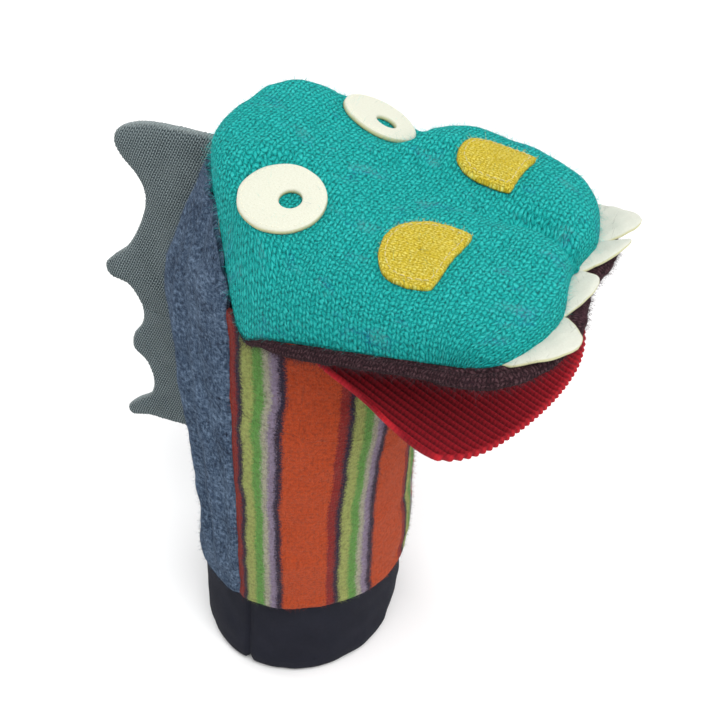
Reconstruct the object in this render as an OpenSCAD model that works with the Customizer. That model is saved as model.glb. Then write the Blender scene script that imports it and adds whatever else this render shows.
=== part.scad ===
// Moving mouth hand puppet: a sewn wool and jersey dragon worn on one hand.
// +Z up, the face looks along -Y, +X is the puppet's left.
// The origin is the centre of the hand opening, at the cuff's bottom edge.

/* [Sleeve] */
// Radius of the hand opening inside the lining
hand_r = 46; // [44:0.5:46.5]
// Outer radius of the jersey cuff
cuff_r = 51; // [50.5:0.5:52]
// Height of the cuff below the wool hem
cuff_h = 46.6; // [40:0.2:46.6]
// Thickness of the jersey
jersey_t = 1.6; // [1:0.1:1.8]
// Thickness of the felted wool
wool_t = 3; // [2.5:0.1:3.5]
// Height of the plane in which the sleeve twists
turn_z = 118; // [116:0.5:119]

/* [Mouth] */
// Angle that the upper jaw rises forward of the fold
roof_rise = 15; // [13:0.5:16]
// Angle that the lower jaw hangs down at rest
jaw_drop = 22; // [20:0.5:24]
// Half width of the lower jaw
jaw_w = 66; // [60:1:67]
// Length of the lower jaw from the fold
jaw_len = 93; // [84:1:94]
// Radius of the rolled seam that the jaw turns on
fold_r = 2.2; // [1.8:0.1:2.4]

/* [Face] */
// Radius of an eye ring
eye_r = 18.5; // [16:0.5:20]
// Radius of the hole in an eye ring
pupil_r = 5; // [4:0.5:6]
// Thickness of the felt patches
felt_t = 1.8; // [1.2:0.1:2]
// Width of a tooth at its blunt tip
tip_w = 3; // [2:0.5:4]

/* [Crest] */
// Thickness of the two-layer crest
crest_t = 7; // [5:0.5:8]

/* [Hidden] */
$fn = 64;
gap = 0.4;
hem_z = cuff_h + gap;
fold_y = -32;
fold_z = 221;
seat = 0.3;

// Height and radii of the body tube, and how far its centre lies back
tube_x = [[46, 55], [75, 58], [110, 57.3], [150, 56], [186, 51], [230, 50], [257, 43], [270, 38]];
tube_y = [[46, 51.5], [110, 55], [150, 59], [186, 63], [206, 61], [230, 51], [257, 38], [270, 33]];
tube_c = [[46, 0], [110, 1.3], [186, 2.5], [230, 4], [257, 5.5], [270, 6]];

// Angle from the front against the height of each edge of the panels
throat_edge = [[0, 172], [40, 178], [60, 188], [75, 199], [90, 208]];
nape_edge = [[90, 208], [101, 232], [115, 254], [140, 262], [180, 264]];

// Turn from the front and top height of the head's rows over the nape
crown_rows = [[177, 267], [160, 272], [147, 276], [134, 280], [122, 283], [112, 285], [104, 285], [97, 284]];
// Rows in front of the side seams: place, half width, top height
face_rows = [
    [-4, 57, 281.5], [-15, 63, 277.5], [-30, 66, 273.5], [-50, 66, 269.5], [-75, 68.5, 267.5], [-98, 68, 266],
    [-110, 65, 264], [-119, 57, 261], [-126, 45, 258], [-130.5, 28, 254.5]
];
head_power = 2 / 3.4;
head_mid_y = -40;
// How far the near side of the snout runs ahead of the far side, per mm of half width
snout_skew = 0.2;
// The same for the lower jaw, which leans the other way
jaw_skew = 0.12;

// Root and outer edge of the crest: [depth, height] of the valleys and tips
crest_end = [70, 88];
crest_tips = [[104, 87], [95, 140], [108, 178], [94, 254]];
crest_valleys = [[84, 118], [90, 165], [84, 222]];
crest_root_top = [50, 263];

// A closed shell between two grids of points, rows going up and columns to the left
module shell_between(outer, inner) {
    rows = len(outer) - 1;
    cols = len(outer[0]) - 1;
    wide = cols + 1;
    half = (rows + 1) * wide;
    function at(i, j) = i * wide + j;
    function quad(a, b, c, d) = [[a, b, c], [a, c, d]];
    skin = [for (i = [0 : rows - 1], j = [0 : cols - 1])
        each quad(at(i, j), at(i + 1, j), at(i + 1, j + 1), at(i, j + 1))];
    back = [for (f = skin) [f[2] + half, f[1] + half, f[0] + half]];
    low = [for (j = [0 : cols - 1])
        each quad(at(0, j), at(0, j + 1), at(0, j + 1) + half, at(0, j) + half)];
    high = [for (j = [0 : cols - 1])
        each quad(at(rows, j + 1), at(rows, j), at(rows, j) + half, at(rows, j + 1) + half)];
    right = [for (i = [0 : rows - 1])
        each quad(at(i + 1, 0), at(i, 0), at(i, 0) + half, at(i + 1, 0) + half)];
    left = [for (i = [0 : rows - 1])
        each quad(at(i, cols), at(i + 1, cols), at(i + 1, cols) + half, at(i, cols) + half)];
    polyhedron(
        points = [each each outer, each each inner],
        faces = concat(skin, back, low, high, right, left)
    );
}

// A point of the body tube at height z, turned a degrees from the front, d inside the wool
function tube_point(z, a, d) = [
    (lookup(z, tube_x) - d) * sin(a),
    lookup(z, tube_c) - (lookup(z, tube_y) - d) * cos(a),
    z
];

// Edges of the panels as heights that depend on the angle from the front
function neck_top(a) = 165 - 14 * cos(a);
function head_low(a) = 187 - 17 * cos(a);
function throat_top(a) = lookup(abs(a), throat_edge);
function nape_top(a) = lookup(a, nape_edge);

// A panel of the body tube between two edges, from angle a0 to a1
module panel(low, high, a0, a1, rows = 6, cols = 12) {
    function grid(d) = [for (i = [0 : rows])
        [for (j = [0 : cols])
            let(a = a0 + (a1 - a0) * j / cols, t = i / rows)
            tube_point(low(a) * (1 - t) + high(a) * t, a, d)]];
    shell_between(grid(0), grid(wool_t));
}

// A pair member: the right one as drawn, the left one mirrored
module sided(left) {
    if (left)
        mirror([1, 0, 0])
            children();
    else
        children();
}

// Frame of the upper jaw: origin on the fold, forward along -Y, up across the roof of the mouth
module roof() {
    translate([0, fold_y, fold_z])
        rotate([-roof_rise, 0, 0])
            children();
}

// Frame of the lower jaw, laid out in the same way
module jaw() {
    translate([0, fold_y, fold_z])
        rotate([jaw_drop, 0, 0])
            children();
}

// ---- sleeve ----

module cuff_half(front) {
    color([0.06, 0.08, 0.16])
        rotate([0, 0, front ? 180 : 0])
            rotate_extrude(angle = 180)
                difference() {
                    translate([hand_r + jersey_t + seat, 0])
                        square([cuff_r - hand_r - jersey_t - seat, cuff_h]);
                    translate([cuff_r - 1.5, 0])
                        difference() {
                            square([2, 1.5]);
                            translate([0, 1.5])
                                circle(r = 1.5);
                        }
                }
}

module lining_tube(r, z0, z1) {
    color([0.08, 0.10, 0.18])
        translate([0, 0, z0])
            difference() {
                cylinder(r = r + jersey_t, h = z1 - z0);
                translate([0, 0, -1])
                    cylinder(r = r, h = z1 - z0 + 2);
            }
}

module cuff_front() {
    cuff_half(true);
}

module cuff_back() {
    cuff_half(false);
}

module sleeve_lining() {
    lining_tube(hand_r, 0, turn_z - gap / 2);
}

module belly_lower() {
    color([0.80, 0.22, 0.10])
        panel(function(a) hem_z, function(a) turn_z - gap / 2, -90, 90, 6, 24);
}

module back_lower(left) {
    color([0.13, 0.18, 0.32])
        sided(left)
            panel(function(a) hem_z, function(a) turn_z - gap / 2, -180, -90);
}

module back_lower_right() {
    back_lower(false);
}

module back_lower_left() {
    back_lower(true);
}

// ---- upper body ----

module wrist_lining() {
    lining_tube(hand_r - 1.5, turn_z + gap / 2, 148);
}

module belly_upper() {
    color([0.80, 0.22, 0.10])
        panel(function(a) turn_z + gap / 2, function(a) neck_top(a) - gap / 2, -90, 90, 5, 24);
}

module back_upper(left) {
    color([0.13, 0.18, 0.32])
        sided(left)
            panel(function(a) turn_z + gap / 2, function(a) neck_top(a) - gap / 2, -180, -90, 5);
}

module back_upper_right() {
    back_upper(false);
}

module back_upper_left() {
    back_upper(true);
}

module throat_panel() {
    color([0.80, 0.22, 0.10])
        panel(function(a) neck_top(a) + gap / 2, function(a) throat_top(a), -90, 90, 4, 24);
}

module wrist_fold(left) {
    color([0.13, 0.18, 0.32])
        sided(left)
            panel(function(a) neck_top(a) + gap / 2, function(a) head_low(a) - gap / 2, -180, -90, 3);
}

module wrist_fold_right() {
    wrist_fold(false);
}

module wrist_fold_left() {
    wrist_fold(true);
}

// ---- crest ----

// A point on the curve from p through the pull of c to q
function curve(p, c, q, t) = p * (1 - t) * (1 - t) + c * 2 * t * (1 - t) + q * t * t;

module crest_outline() {
    tips = crest_tips;
    dips = crest_valleys;
    polygon([
        for (z = [88 : 12 : 256]) [lookup(z, tube_c) + lookup(z, tube_y) + seat, z],
        crest_root_top,
        for (k = [6 : -1 : 0]) curve(tips[3], [78, 256], crest_root_top, k / 6),
        for (n = [3 : -1 : 1]) each [
            let(from = tips[n], dip = dips[n - 1], to = tips[n - 1])
            each [
                for (k = [1 : 6]) curve(from, [from[0] - 2, (from[1] + dip[1]) / 2], dip, k / 6),
                for (k = [1 : 6]) curve(dip, [to[0] - 8, to[1] + 12], to, k / 6)
            ]
        ],
        for (k = [1 : 4]) curve(tips[0], [86, 84], crest_end, k / 4)
    ]);
}

// The stretch of the crest between two heights
module crest(z0, z1) {
    color([0.42, 0.50, 0.53])
        rotate([90, 0, 90])
            translate([0, 0, -crest_t / 2])
                linear_extrude(crest_t)
                    intersection() {
                        crest_outline();
                        translate([40, z0])
                            square([90, z1 - z0]);
                    }
}

module crest_lower() {
    crest(60, turn_z - gap / 2);
}

module crest_middle() {
    crest(turn_z + gap / 2, 178.6);
}

module crest_nape() {
    crest(179, 221.6);
}

module crest_upper() {
    crest(222, 280);
}

// ---- head ----

module nape(left) {
    color([0.13, 0.18, 0.32])
        sided(left)
            panel(function(a) head_low(a) + gap / 2, function(a) nape_top(-a), -180, -90, 6);
}

module nape_right() {
    nape(false);
}

module nape_left() {
    nape(true);
}

// Height of the head's lower edge, along the roof of the mouth and back to the side seams
function rim_z(y) = max(fold_z + (fold_y - y) * tan(roof_rise) + 3.8, lookup(y, [[-28, 224], [-4, 212]]));

function crown_row(r) =
    let(p = tube_point(nape_top(r[0]), r[0], 0))
    [p[1], p[0], p[2] + gap, r[1]];

// Rows of the head from the back: place, half width, lower edge, top
head_rows = [
    for (r = crown_rows) crown_row(r),
    for (r = face_rows) [r[0], r[1], rim_z(r[0]), r[2]]
];

// How far forward the snout is drawn at x across and y deep, nothing behind the eyes
function skew(x, y) = snout_skew * x * min(1, max(0, (-50 - y) / 60));

// A point of the head's skin: row n, turned b degrees from the top, d inside the wool
function head_point(n, b, d) =
    let(
        row = head_rows[n],
        wide = max(row[1] - d, 1.5),
        tall = max(row[3] - row[2] - d, 0.4),
        x = wide * sign(b) * pow(abs(sin(b)), head_power),
        y = head_mid_y + (row[0] - head_mid_y) * (1 - d / 90)
    )
    [
        x,
        y + skew(x, y),
        row[2] + tall * pow(abs(cos(b)), head_power) - skew(x, y) * tan(roof_rise)
    ];

// A layer under the head's skin from row n0 to n1, d0 to d1 inside it
module head_layer(n0, n1, b0, b1, d0, d1, cols = 20) {
    function grid(d) = [for (n = [n1 : -1 : n0])
        [for (j = [0 : cols]) head_point(n, b0 + (b1 - b0) * j / cols, d)]];
    shell_between(grid(d0), grid(d1));
}

module head_top() {
    color([0.05, 0.60, 0.56])
        head_layer(0, len(head_rows) - 1, -90, 90, 0, wool_t);
}

module crown_stuffing() {
    color([0.92, 0.92, 0.90])
        head_layer(4, 12, -50, 50, wool_t + 0.6, wool_t + 7.6, 12);
}

module snout_stuffing() {
    color([0.92, 0.92, 0.90])
        head_layer(13, 15, -58, 58, wool_t + 0.6, wool_t + 3, 12);
}

// Half outline of the mouth from the fold to the front, w wide and s long
function mouth_half(w, s) = [
    [w - 8, -3],
    [w - 2, -14],
    for (t = [0 : 10 : 90]) [w * 0.65 + w * 0.35 * cos(t), -s * 0.74 - s * 0.26 * sin(t)]
];

// Whole outline, its +X side drawn back by lean for each mm across
function mouth_outline(w, s, lean) =
    let(half = mouth_half(w, s), n = len(half) - 1)
    [
        for (p = half) [p[0], p[1] + lean * p[0] * p[1] / -s],
        for (k = [n : -1 : 0]) [-half[k][0], half[k][1] - lean * half[k][0] * half[k][1] / -s]
    ];

module mouth_sheet(w, s, low, high, lean) {
    translate([0, 0, low])
        linear_extrude(high - low)
            polygon(mouth_outline(w, s, lean));
}

module palate() {
    color([0.22, 0.10, 0.14])
        roof()
            mouth_sheet(73, 111, 0.3, 3.3, snout_skew);
}

module upper_mouth_plate() {
    color([0.75, 0.70, 0.60])
        roof()
            mouth_sheet(58, 94, 3.6, 5.2, snout_skew);
}

// A flat pocket open at the back: side profile, half width, wall
module pocket(low, tall_back, tall_front, s0, s1, w, wall) {
    difference() {
        pocket_solid(low, tall_back, tall_front, s0, s1, w);
        pocket_solid(low + wall, tall_back - 2 * wall, tall_front - 2 * wall, s0 - 2, s1 - wall, w - wall);
    }
}

module pocket_solid(low, tall_back, tall_front, s0, s1, w) {
    translate([-w, 0, 0])
        rotate([90, 0, 90])
            linear_extrude(2 * w)
                polygon([[-s0, low], [-s0, low + tall_back], [-s1, low + tall_front], [-s1, low]]);
}

module finger_pocket() {
    color([0.30, 0.32, 0.36])
        roof()
            pocket(5.5, 24, 11, 8, 72, 40, jersey_t);
}

module mouth_fold() {
    color([0.22, 0.10, 0.14])
        translate([-(jaw_w - 8), fold_y, fold_z])
            rotate([0, 90, 0])
                cylinder(r = fold_r, h = 2 * (jaw_w - 8));
}

// ---- face ----

// Lays its children flat on the head at row n, b degrees from the top, lifted clear
module on_head(n, b, lift) {
    p = head_point(n, b, 0);
    across = head_point(n, b + 4, 0) - head_point(n, b - 4, 0);
    along = head_point(n - 1, b, 0) - head_point(n + 1, b, 0);
    tilt = atan2(across[2], across[0]);
    pitch = atan2(along[2], along[1]);
    translate(p)
        rotate([pitch, -tilt, 0])
            translate([0, 0, lift])
                children();
}

// An eye ring, side -1 for the right and 1 for the left
module eye(side) {
    color([0.93, 0.92, 0.82])
        on_head(9, side * 29, 2.6)
            difference() {
                cylinder(r = eye_r, h = felt_t);
                translate([0, -3.5, -1])
                    cylinder(r = pupil_r, h = felt_t + 2);
            }
}

module eye_right() {
    eye(-1);
}

module eye_left() {
    eye(1);
}

// A nostril patch, straight at the front and round behind
module nostril(side) {
    color([0.78, 0.60, 0.06])
        on_head(12, side * 23, 1.6)
            rotate([0, 0, side * 12])
                linear_extrude(felt_t)
                    intersection() {
                        circle(r = 16);
                        translate([-14, -13])
                            square([28, 40]);
                    }
}

module nostril_right() {
    nostril(-1);
}

module nostril_left() {
    nostril(1);
}

// A tooth lying on the lip: both ends of its base and its tip, each as [across, forward of the fold]
module tooth(a, b, tip) {
    function flat(p) = [p[0], -p[1]];
    color([0.94, 0.93, 0.88])
        roof()
            translate([0, 0, 3.6])
                linear_extrude(felt_t)
                    polygon([flat(a), flat(b), flat(tip) + [tip_w / 2, 0], flat(tip) - [tip_w / 2, 0]]);
}

module tooth_outer_right() {
    tooth([-62, 102.5], [-33, 112], [-45.5, 120]);
}

module tooth_inner_right() {
    tooth([-28, 110.5], [0, 105], [-1, 113]);
}

module tooth_inner_left() {
    tooth([8, 103.5], [28, 99.5], [34, 112]);
}

module tooth_outer_left() {
    tooth([31, 98.5], [57, 82], [51, 107]);
}

// ---- lower jaw ----

module jaw_lining() {
    color([0.62, 0.03, 0.08])
        jaw()
            mouth_sheet(jaw_w, jaw_len, -2.8, -0.3, -jaw_skew);
}

module lower_mouth_plate() {
    color([0.75, 0.70, 0.60])
        jaw()
            mouth_sheet(jaw_w - 9, jaw_len - 9, -4.4, -3.1, -jaw_skew);
}

module thumb_pocket() {
    color([0.30, 0.32, 0.36])
        jaw()
            mirror([0, 0, 1])
                pocket(4.8, 15, 15, 10, 62, 17, jersey_t);
}

// The outside of the jaw: a crowned shell under the mouth plate, deepest half way along
chin_rim = 5;
chin_drop = 21.4;

module chin_panel() {
    steps = 10;
    cols = 16;
    function taper(s) = max(0, s - jaw_len * 0.7) / (jaw_len * 0.3);
    function side(s) = min(jaw_w - 2, jaw_w * (0.60 + 0.40 * sqrt(max(0, 1 - pow(taper(s), 2)))));
    function depth(s) = chin_rim + chin_drop * pow(sin(180 * (s + 12) / (jaw_len + 14)), 0.6);
    // A point of the chin: s forward of the fold, u across from -1 to 1, d inside the wool
    function chin_point(s, u, d) =
        let(x = (side(s) - d) * u)
        [-x, -s * (1 - jaw_skew * x / jaw_len), -3.1 - (depth(s) - d) * pow(1 - u * u, 0.6)];
    function grid(d) = [for (i = [0 : steps])
        [for (j = [0 : cols])
            let(s = jaw_len - 1 - (jaw_len - 12) * i / steps)
            chin_point(s, -1 + 2 * j / cols, d) + [0, i == 0 ? d : 0, 0]]];
    color([0.66, 0.04, 0.09])
        jaw()
            shell_between(grid(0), grid(2.4));
}

cuff_front();
cuff_back();
sleeve_lining();
belly_lower();
back_lower_right();
back_lower_left();
crest_lower();
wrist_lining();
belly_upper();
back_upper_right();
back_upper_left();
crest_middle();
throat_panel();
wrist_fold_right();
wrist_fold_left();
crest_nape();
nape_right();
nape_left();
crest_upper();
head_top();
palate();
upper_mouth_plate();
finger_pocket();
crown_stuffing();
snout_stuffing();
mouth_fold();
eye_right();
eye_left();
nostril_right();
nostril_left();
tooth_outer_right();
tooth_inner_right();
tooth_inner_left();
tooth_outer_left();
jaw_lining();
lower_mouth_plate();
thumb_pocket();
chin_panel();
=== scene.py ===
"""Looks of the moving mouth puppet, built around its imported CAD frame.

Lengths are millimetres until a mesh is made.
"""
import logging
import math
from dataclasses import dataclass, field
from enum import Enum
from typing import Callable, Sequence

import bmesh
import bpy
import numpy as np
from mathutils import Matrix, Vector
from mathutils.bvhtree import BVHTree


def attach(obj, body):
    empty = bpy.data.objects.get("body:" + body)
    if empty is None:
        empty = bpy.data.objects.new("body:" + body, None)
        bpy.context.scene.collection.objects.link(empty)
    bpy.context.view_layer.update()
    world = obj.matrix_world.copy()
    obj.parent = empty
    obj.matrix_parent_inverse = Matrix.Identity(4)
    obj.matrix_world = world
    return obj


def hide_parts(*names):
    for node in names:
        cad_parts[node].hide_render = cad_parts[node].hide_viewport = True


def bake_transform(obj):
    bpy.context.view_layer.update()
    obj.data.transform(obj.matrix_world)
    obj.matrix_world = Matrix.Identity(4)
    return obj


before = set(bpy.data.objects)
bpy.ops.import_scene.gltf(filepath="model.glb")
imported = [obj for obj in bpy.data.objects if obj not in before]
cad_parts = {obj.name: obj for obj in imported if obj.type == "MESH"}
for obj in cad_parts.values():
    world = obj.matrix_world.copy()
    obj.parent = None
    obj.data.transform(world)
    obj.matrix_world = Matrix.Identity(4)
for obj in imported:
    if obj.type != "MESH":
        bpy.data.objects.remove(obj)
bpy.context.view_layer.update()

LOG = logging.getLogger("puppet")
Array = np.ndarray
Colour = tuple[float, float, float]
# Depth (y) and height (z) of the fold at the back of the mouth, on which the jaw turns
FOLD = (-32.0, 221.0)
# Degrees that the upper jaw rises and the lower jaw hangs, forward of the fold
ROOF_RISE = 15.0
JAW_DROP = 22.0


class Slot(Enum):
    """Material slots of the record."""

    CUFF = "cuff_jersey"
    LINING = "lining_jersey"
    BELLY = "belly_wool"
    BACK = "back_wool"
    CREST = "crest_jersey"
    HEAD = "head_wool"
    MOUTH = "mouth_wool"
    PLATE = "plate_board"
    FILL = "stuffing_fill"
    EYE = "eye_felt"
    NOSTRIL = "nostril_felt"
    TOOTH = "tooth_felt"
    JAW = "jaw_rib"


class Body(Enum):
    """Bodies of the assembly."""

    SLEEVE = "sleeve"
    NECK = "neck"
    HEAD = "head"
    JAW = "jaw"


# ---------------------------------------------------------------- numbers


def ease(x: Array | float) -> Array:
    """Smooth step of x held between 0 and 1."""
    t = np.clip(x, 0.0, 1.0)
    return t * t * (3 - 2 * t)


def bell(x: Array | float, centre: Array | float, width: float) -> Array:
    """A smooth bump of x, 1 at the centre and about a third at the width."""
    return np.exp(-(((x - centre) / width) ** 2))


def unit(vectors: Array) -> Array:
    """Vectors along the last axis brought to length 1."""
    return vectors / np.maximum(np.linalg.norm(vectors, axis=-1, keepdims=True), 1e-9)


def run_along(line: Array) -> Array:
    """Distance along a line of points, at each point."""
    return np.concatenate([[0], np.cumsum(np.linalg.norm(np.diff(line, axis=0), axis=1))])


def cells(grid: Array) -> Array:
    """The four corners of every cell in a grid of vertex numbers."""
    return np.stack([grid[:-1, :-1], grid[:-1, 1:], grid[1:, 1:], grid[1:, :-1]], -1).reshape(-1, 4)


def table(rows: Sequence[Sequence[float]]) -> Callable[[Array | float], Array]:
    """A smooth curve through rows of (place, value).

    Args:
        rows: Places in rising order with the value at each.
    Returns:
        A function that gives the value at any place.
    """
    data = np.array(rows, float)
    x, y = data[:, 0], data[:, 1]
    step = np.diff(y) / np.diff(x)
    slope = np.concatenate([[step[0]], (step[1:] + step[:-1]) / 2, [step[-1]]])
    turn = np.concatenate([[False], step[1:] * step[:-1] <= 0, [False]])
    slope = np.where(turn, 0.0, slope)

    def value(at: Array | float) -> Array:
        """The curve at one place or many.

        Args:
            at: The places.
        Returns:
            The value at each.
        """
        a = np.clip(at, x[0], x[-1])
        k = np.clip(np.searchsorted(x, a, side="right") - 1, 0, len(x) - 2)
        h = x[k + 1] - x[k]
        t = (a - x[k]) / h
        return (
            y[k] * (1 + 2 * t) * (1 - t) ** 2
            + slope[k] * h * t * (1 - t) ** 2
            + y[k + 1] * t * t * (3 - 2 * t)
            + slope[k + 1] * h * t * t * (t - 1)
        )

    return value


def spline(points: Sequence[Sequence[float]], count: int, closed: bool) -> Array:
    """Evenly spaced points on a smooth curve through the given ones.

    Args:
        points: Corner points of the curve.
        count: Number of points wanted.
        closed: Whether the curve meets its own start.
    Returns:
        An array of count points.
    """
    p = np.array(points, float)
    if closed:
        p = np.concatenate([p[-1:], p, p[:2]])
    else:
        p = np.concatenate([2 * p[:1] - p[1:2], p, 2 * p[-1:] - p[-2:-1]])
    t = np.linspace(0, 1, 24, endpoint=False)[:, None]
    line = []
    for a, b, c, d in zip(p, p[1:], p[2:], p[3:]):
        line.append(
            0.5
            * (
                2 * b
                + (c - a) * t
                + (2 * a - 5 * b + 4 * c - d) * t**2
                + (3 * b - a - 3 * c + d) * t**3
            )
        )
    dense = np.concatenate([*line, p[-2:-1]])
    run = run_along(dense)
    at = np.linspace(0, run[-1], count, endpoint=not closed)
    return np.stack([np.interp(at, run, dense[:, k]) for k in range(p.shape[1])], 1)


def ripple(u: Array, v: Array, size: float, seed: int, octaves: int = 3) -> Array:
    """Smooth uneven waves from -1 to 1 over the plane (u, v).

    Args:
        u: First coordinate in millimetres.
        v: Second coordinate in millimetres.
        size: Length of the largest wave.
        seed: Number of the pattern.
        octaves: Layers of ever smaller waves.
    Returns:
        The height of the waves at each place.
    """
    rng = np.random.default_rng(seed)
    total = np.zeros(np.broadcast(u, v).shape)
    share = 0.0
    for k in range(octaves * 4):
        layer = k // 4
        turn, shift = rng.uniform(0, 2 * np.pi, 2)
        wave = 2 * np.pi / (size * 0.62**layer * rng.uniform(0.8, 1.25))
        total = total + 0.6**layer * np.sin(wave * (u * np.cos(turn) + v * np.sin(turn)) + shift)
        share += 0.6**layer
    return total / share * 2


def tilt_point(x: Array, s: Array, n: Array, angle: float) -> Array:
    """Points of a jaw's own frame in the puppet's frame.

    Args:
        x: Across, along +X.
        s: Forward from the fold.
        n: Up from the mouth plane.
        angle: Rise of the plane in degrees, negative for the hanging jaw.
    Returns:
        Points with a last axis of three.
    """
    c, d = math.cos(math.radians(angle)), math.sin(math.radians(angle))
    x, s, n = np.broadcast_arrays(x, s, n)
    return np.stack([x, FOLD[0] - s * c + n * d, FOLD[1] + s * d + n * c], -1)


# ---------------------------------------------------------------- meshes


@dataclass
class Patch:
    """A grid of surface points with cloth coordinates.

    Args:
        points: Rows by columns by three, in millimetres.
        cloth: Rows by columns by two, in millimetres of cloth.
        edge: Rows by columns, 1 at a cut or seam edge and 0 inside; the jaw's pieces use it for rib height
            and rim, which carry painted shade and a painted highlight.
    """

    points: Array
    cloth: Array
    edge: Array

    def normals(self) -> Array:
        """Unit normals of the grid, pointing to the side where columns run to the right of rows.

        Returns:
            Rows by columns by three.
        """
        du = np.gradient(self.points, axis=1)
        dv = np.gradient(self.points, axis=0)
        n = np.cross(du, dv)
        return unit(n)

    def moved(self, distance: Array | float) -> "Patch":
        """The same grid pushed along its normals.

        Args:
            distance: How far, one number or one for each point.
        Returns:
            The new patch.
        """
        d = np.asarray(distance, float)
        d = d[..., None] if d.ndim else d
        return Patch(self.points + self.normals() * d, self.cloth, self.edge)

    def sample(self, rng: np.random.Generator, count: int) -> tuple[Array, Array, Array]:
        """Random places spread by area.

        Args:
            rng: The seeded generator.
            count: How many places.
        Returns:
            Their points, normals and cloth coordinates.
        """
        p, n, c = self.points, self.normals(), self.cloth
        a = np.linalg.norm(np.cross(p[1:, :-1] - p[:-1, :-1], p[:-1, 1:] - p[:-1, :-1]), axis=-1)
        pick = rng.choice(a.size, count, p=(a / a.sum()).ravel())
        i, j = np.divmod(pick, a.shape[1])
        s, t = rng.random((2, count))[..., None]

        def at(grid: Array) -> Array:
            """The grid's value inside the picked cells.

            Args:
                grid: Values at the points of the patch.
            Returns:
                The value at each picked place.
            """
            low = grid[i, j] * (1 - t) + grid[i, j + 1] * t
            high = grid[i + 1, j] * (1 - t) + grid[i + 1, j + 1] * t
            return low * (1 - s) + high * s

        return at(p), at(n), at(c)


def make_mesh(
    name: str, points: Array, faces: Sequence[Sequence[int]], cloth: Array, edge: Array
) -> bpy.types.Object:
    """A mesh object from points in millimetres.

    Args:
        name: The piece's name.
        points: Its vertices.
        faces: Vertex numbers of each face.
        cloth: Cloth coordinates of each vertex.
        edge: Edge value of each vertex.
    Returns:
        The linked object, shaded smooth.
    """
    mesh = bpy.data.meshes.new(name)
    mesh.from_pydata((np.asarray(points) * 0.001).tolist(), [], [list(map(int, f)) for f in faces])
    mesh.validate()
    corner = np.zeros(len(mesh.loops), int)
    mesh.loops.foreach_get("vertex_index", corner)
    layer = mesh.uv_layers.new(name="cloth")
    layer.data.foreach_set("uv", np.asarray(cloth, float)[corner].astype(np.float32).ravel())
    value = mesh.attributes.new("edge", "FLOAT", "POINT")
    value.data.foreach_set("value", np.asarray(edge, np.float32))
    mesh.polygons.foreach_set("use_smooth", [True] * len(mesh.polygons))
    mesh.update()
    made = bpy.data.objects.new(name, mesh)
    bpy.context.scene.collection.objects.link(made)
    return made


def shell(
    name: str,
    outer: Patch,
    thick: float | Array,
    round_edge: float = 0.45,
    ring: bool = False,
    crisp: bool = False,
) -> bpy.types.Object:
    """A closed sheet of cloth with rounded edges.

    Args:
        name: The piece's name.
        outer: The outside of the sheet.
        thick: Its thickness, one number or one for each point.
        round_edge: How far the edge bulges, as a share of the thickness.
        ring: Whether the last column meets the first.
        crisp: Whether its edges meet each other, so that they are not shaded as edges.
    Returns:
        The object.
    """
    inner = outer.moved(-np.asarray(thick, float))
    rows, cols = outer.edge.shape
    middle = (outer.points + inner.points) / 2
    t = np.broadcast_to(np.asarray(thick, float), outer.edge.shape)[..., None]

    def out_from(a: Array, b: Array, w: Array) -> Array:
        """Edge points pushed away from the neighbours inside the sheet."""
        return a + unit(a - b) * w * round_edge

    number = rows * cols
    points = [outer.points.reshape(-1, 3), inner.points.reshape(-1, 3)]
    cloth = [outer.cloth.reshape(-1, 2)] * 2
    edge = [outer.edge.ravel(), outer.edge.ravel()]
    index = np.arange(number).reshape(rows, cols)
    faces: list[tuple[int, ...]] = []

    def skin(grid: Array, flip: bool) -> None:
        """Adds the quads of a grid of vertex numbers."""
        faces.extend(map(tuple, cells(grid)[:, [0, 3, 2, 1] if flip else [0, 1, 2, 3]]))

    whole = np.concatenate([index, index[:, :1]], 1) if ring else index
    skin(whole, False)
    skin(whole + number, True)
    total = 2 * number
    sides = [(index[0], index[1], True), (index[-1], index[-2], False)]
    if not ring:
        sides += [(index[:, 0], index[:, 1], False), (index[:, -1], index[:, -2], True)]
    flat_mid, flat_t = middle.reshape(-1, 3), t.reshape(-1, 1)
    for ids, near, flip in sides:
        line = out_from(flat_mid[ids], flat_mid[near], flat_t[ids])
        mid = total + np.arange(len(ids))
        points.append(line)
        cloth.append(outer.cloth.reshape(-1, 2)[ids])
        edge.append(np.ones(len(ids)))
        total += len(ids)
        if ring:
            ids, mid = np.append(ids, ids[0]), np.append(mid, mid[0])
        for a, b in ((ids, mid), (mid, ids + number)):
            skin(np.stack([a, b]), not flip)
    piece = make_mesh(name, np.concatenate(points), faces, np.concatenate(cloth), np.concatenate(edge))
    if crisp:
        ends = np.empty(2 * len(piece.data.edges), int)
        piece.data.edges.foreach_get("vertices", ends)
        ends = ends.reshape(-1, 2)
        lines = (index[-1], index[:, 0], index[:, -1])
        sharp = np.any([np.all(np.isin(ends, line), axis=1) for line in lines], axis=0)
        piece.data.attributes.new("sharp_edge", "BOOLEAN", "EDGE").data.foreach_set("value", sharp)
    return piece


def solid_loft(name: str, loops: Array, cloth: Array, edge: Array) -> bpy.types.Object:
    """A closed body through loops of points, its first and last loop capped.

    Args:
        name: The piece's name.
        loops: Loops by points by three.
        cloth: Loops by points by two.
        edge: Loops by points.
    Returns:
        The object.
    """
    rows, cols = edge.shape
    index = np.arange(rows * cols).reshape(rows, cols)
    wide = np.concatenate([index, index[:, :1]], 1)
    faces = [*map(tuple, cells(wide)), tuple(index[0][::-1]), tuple(index[-1])]
    return make_mesh(name, loops.reshape(-1, 3), faces, cloth.reshape(-1, 2), edge.ravel())


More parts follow.
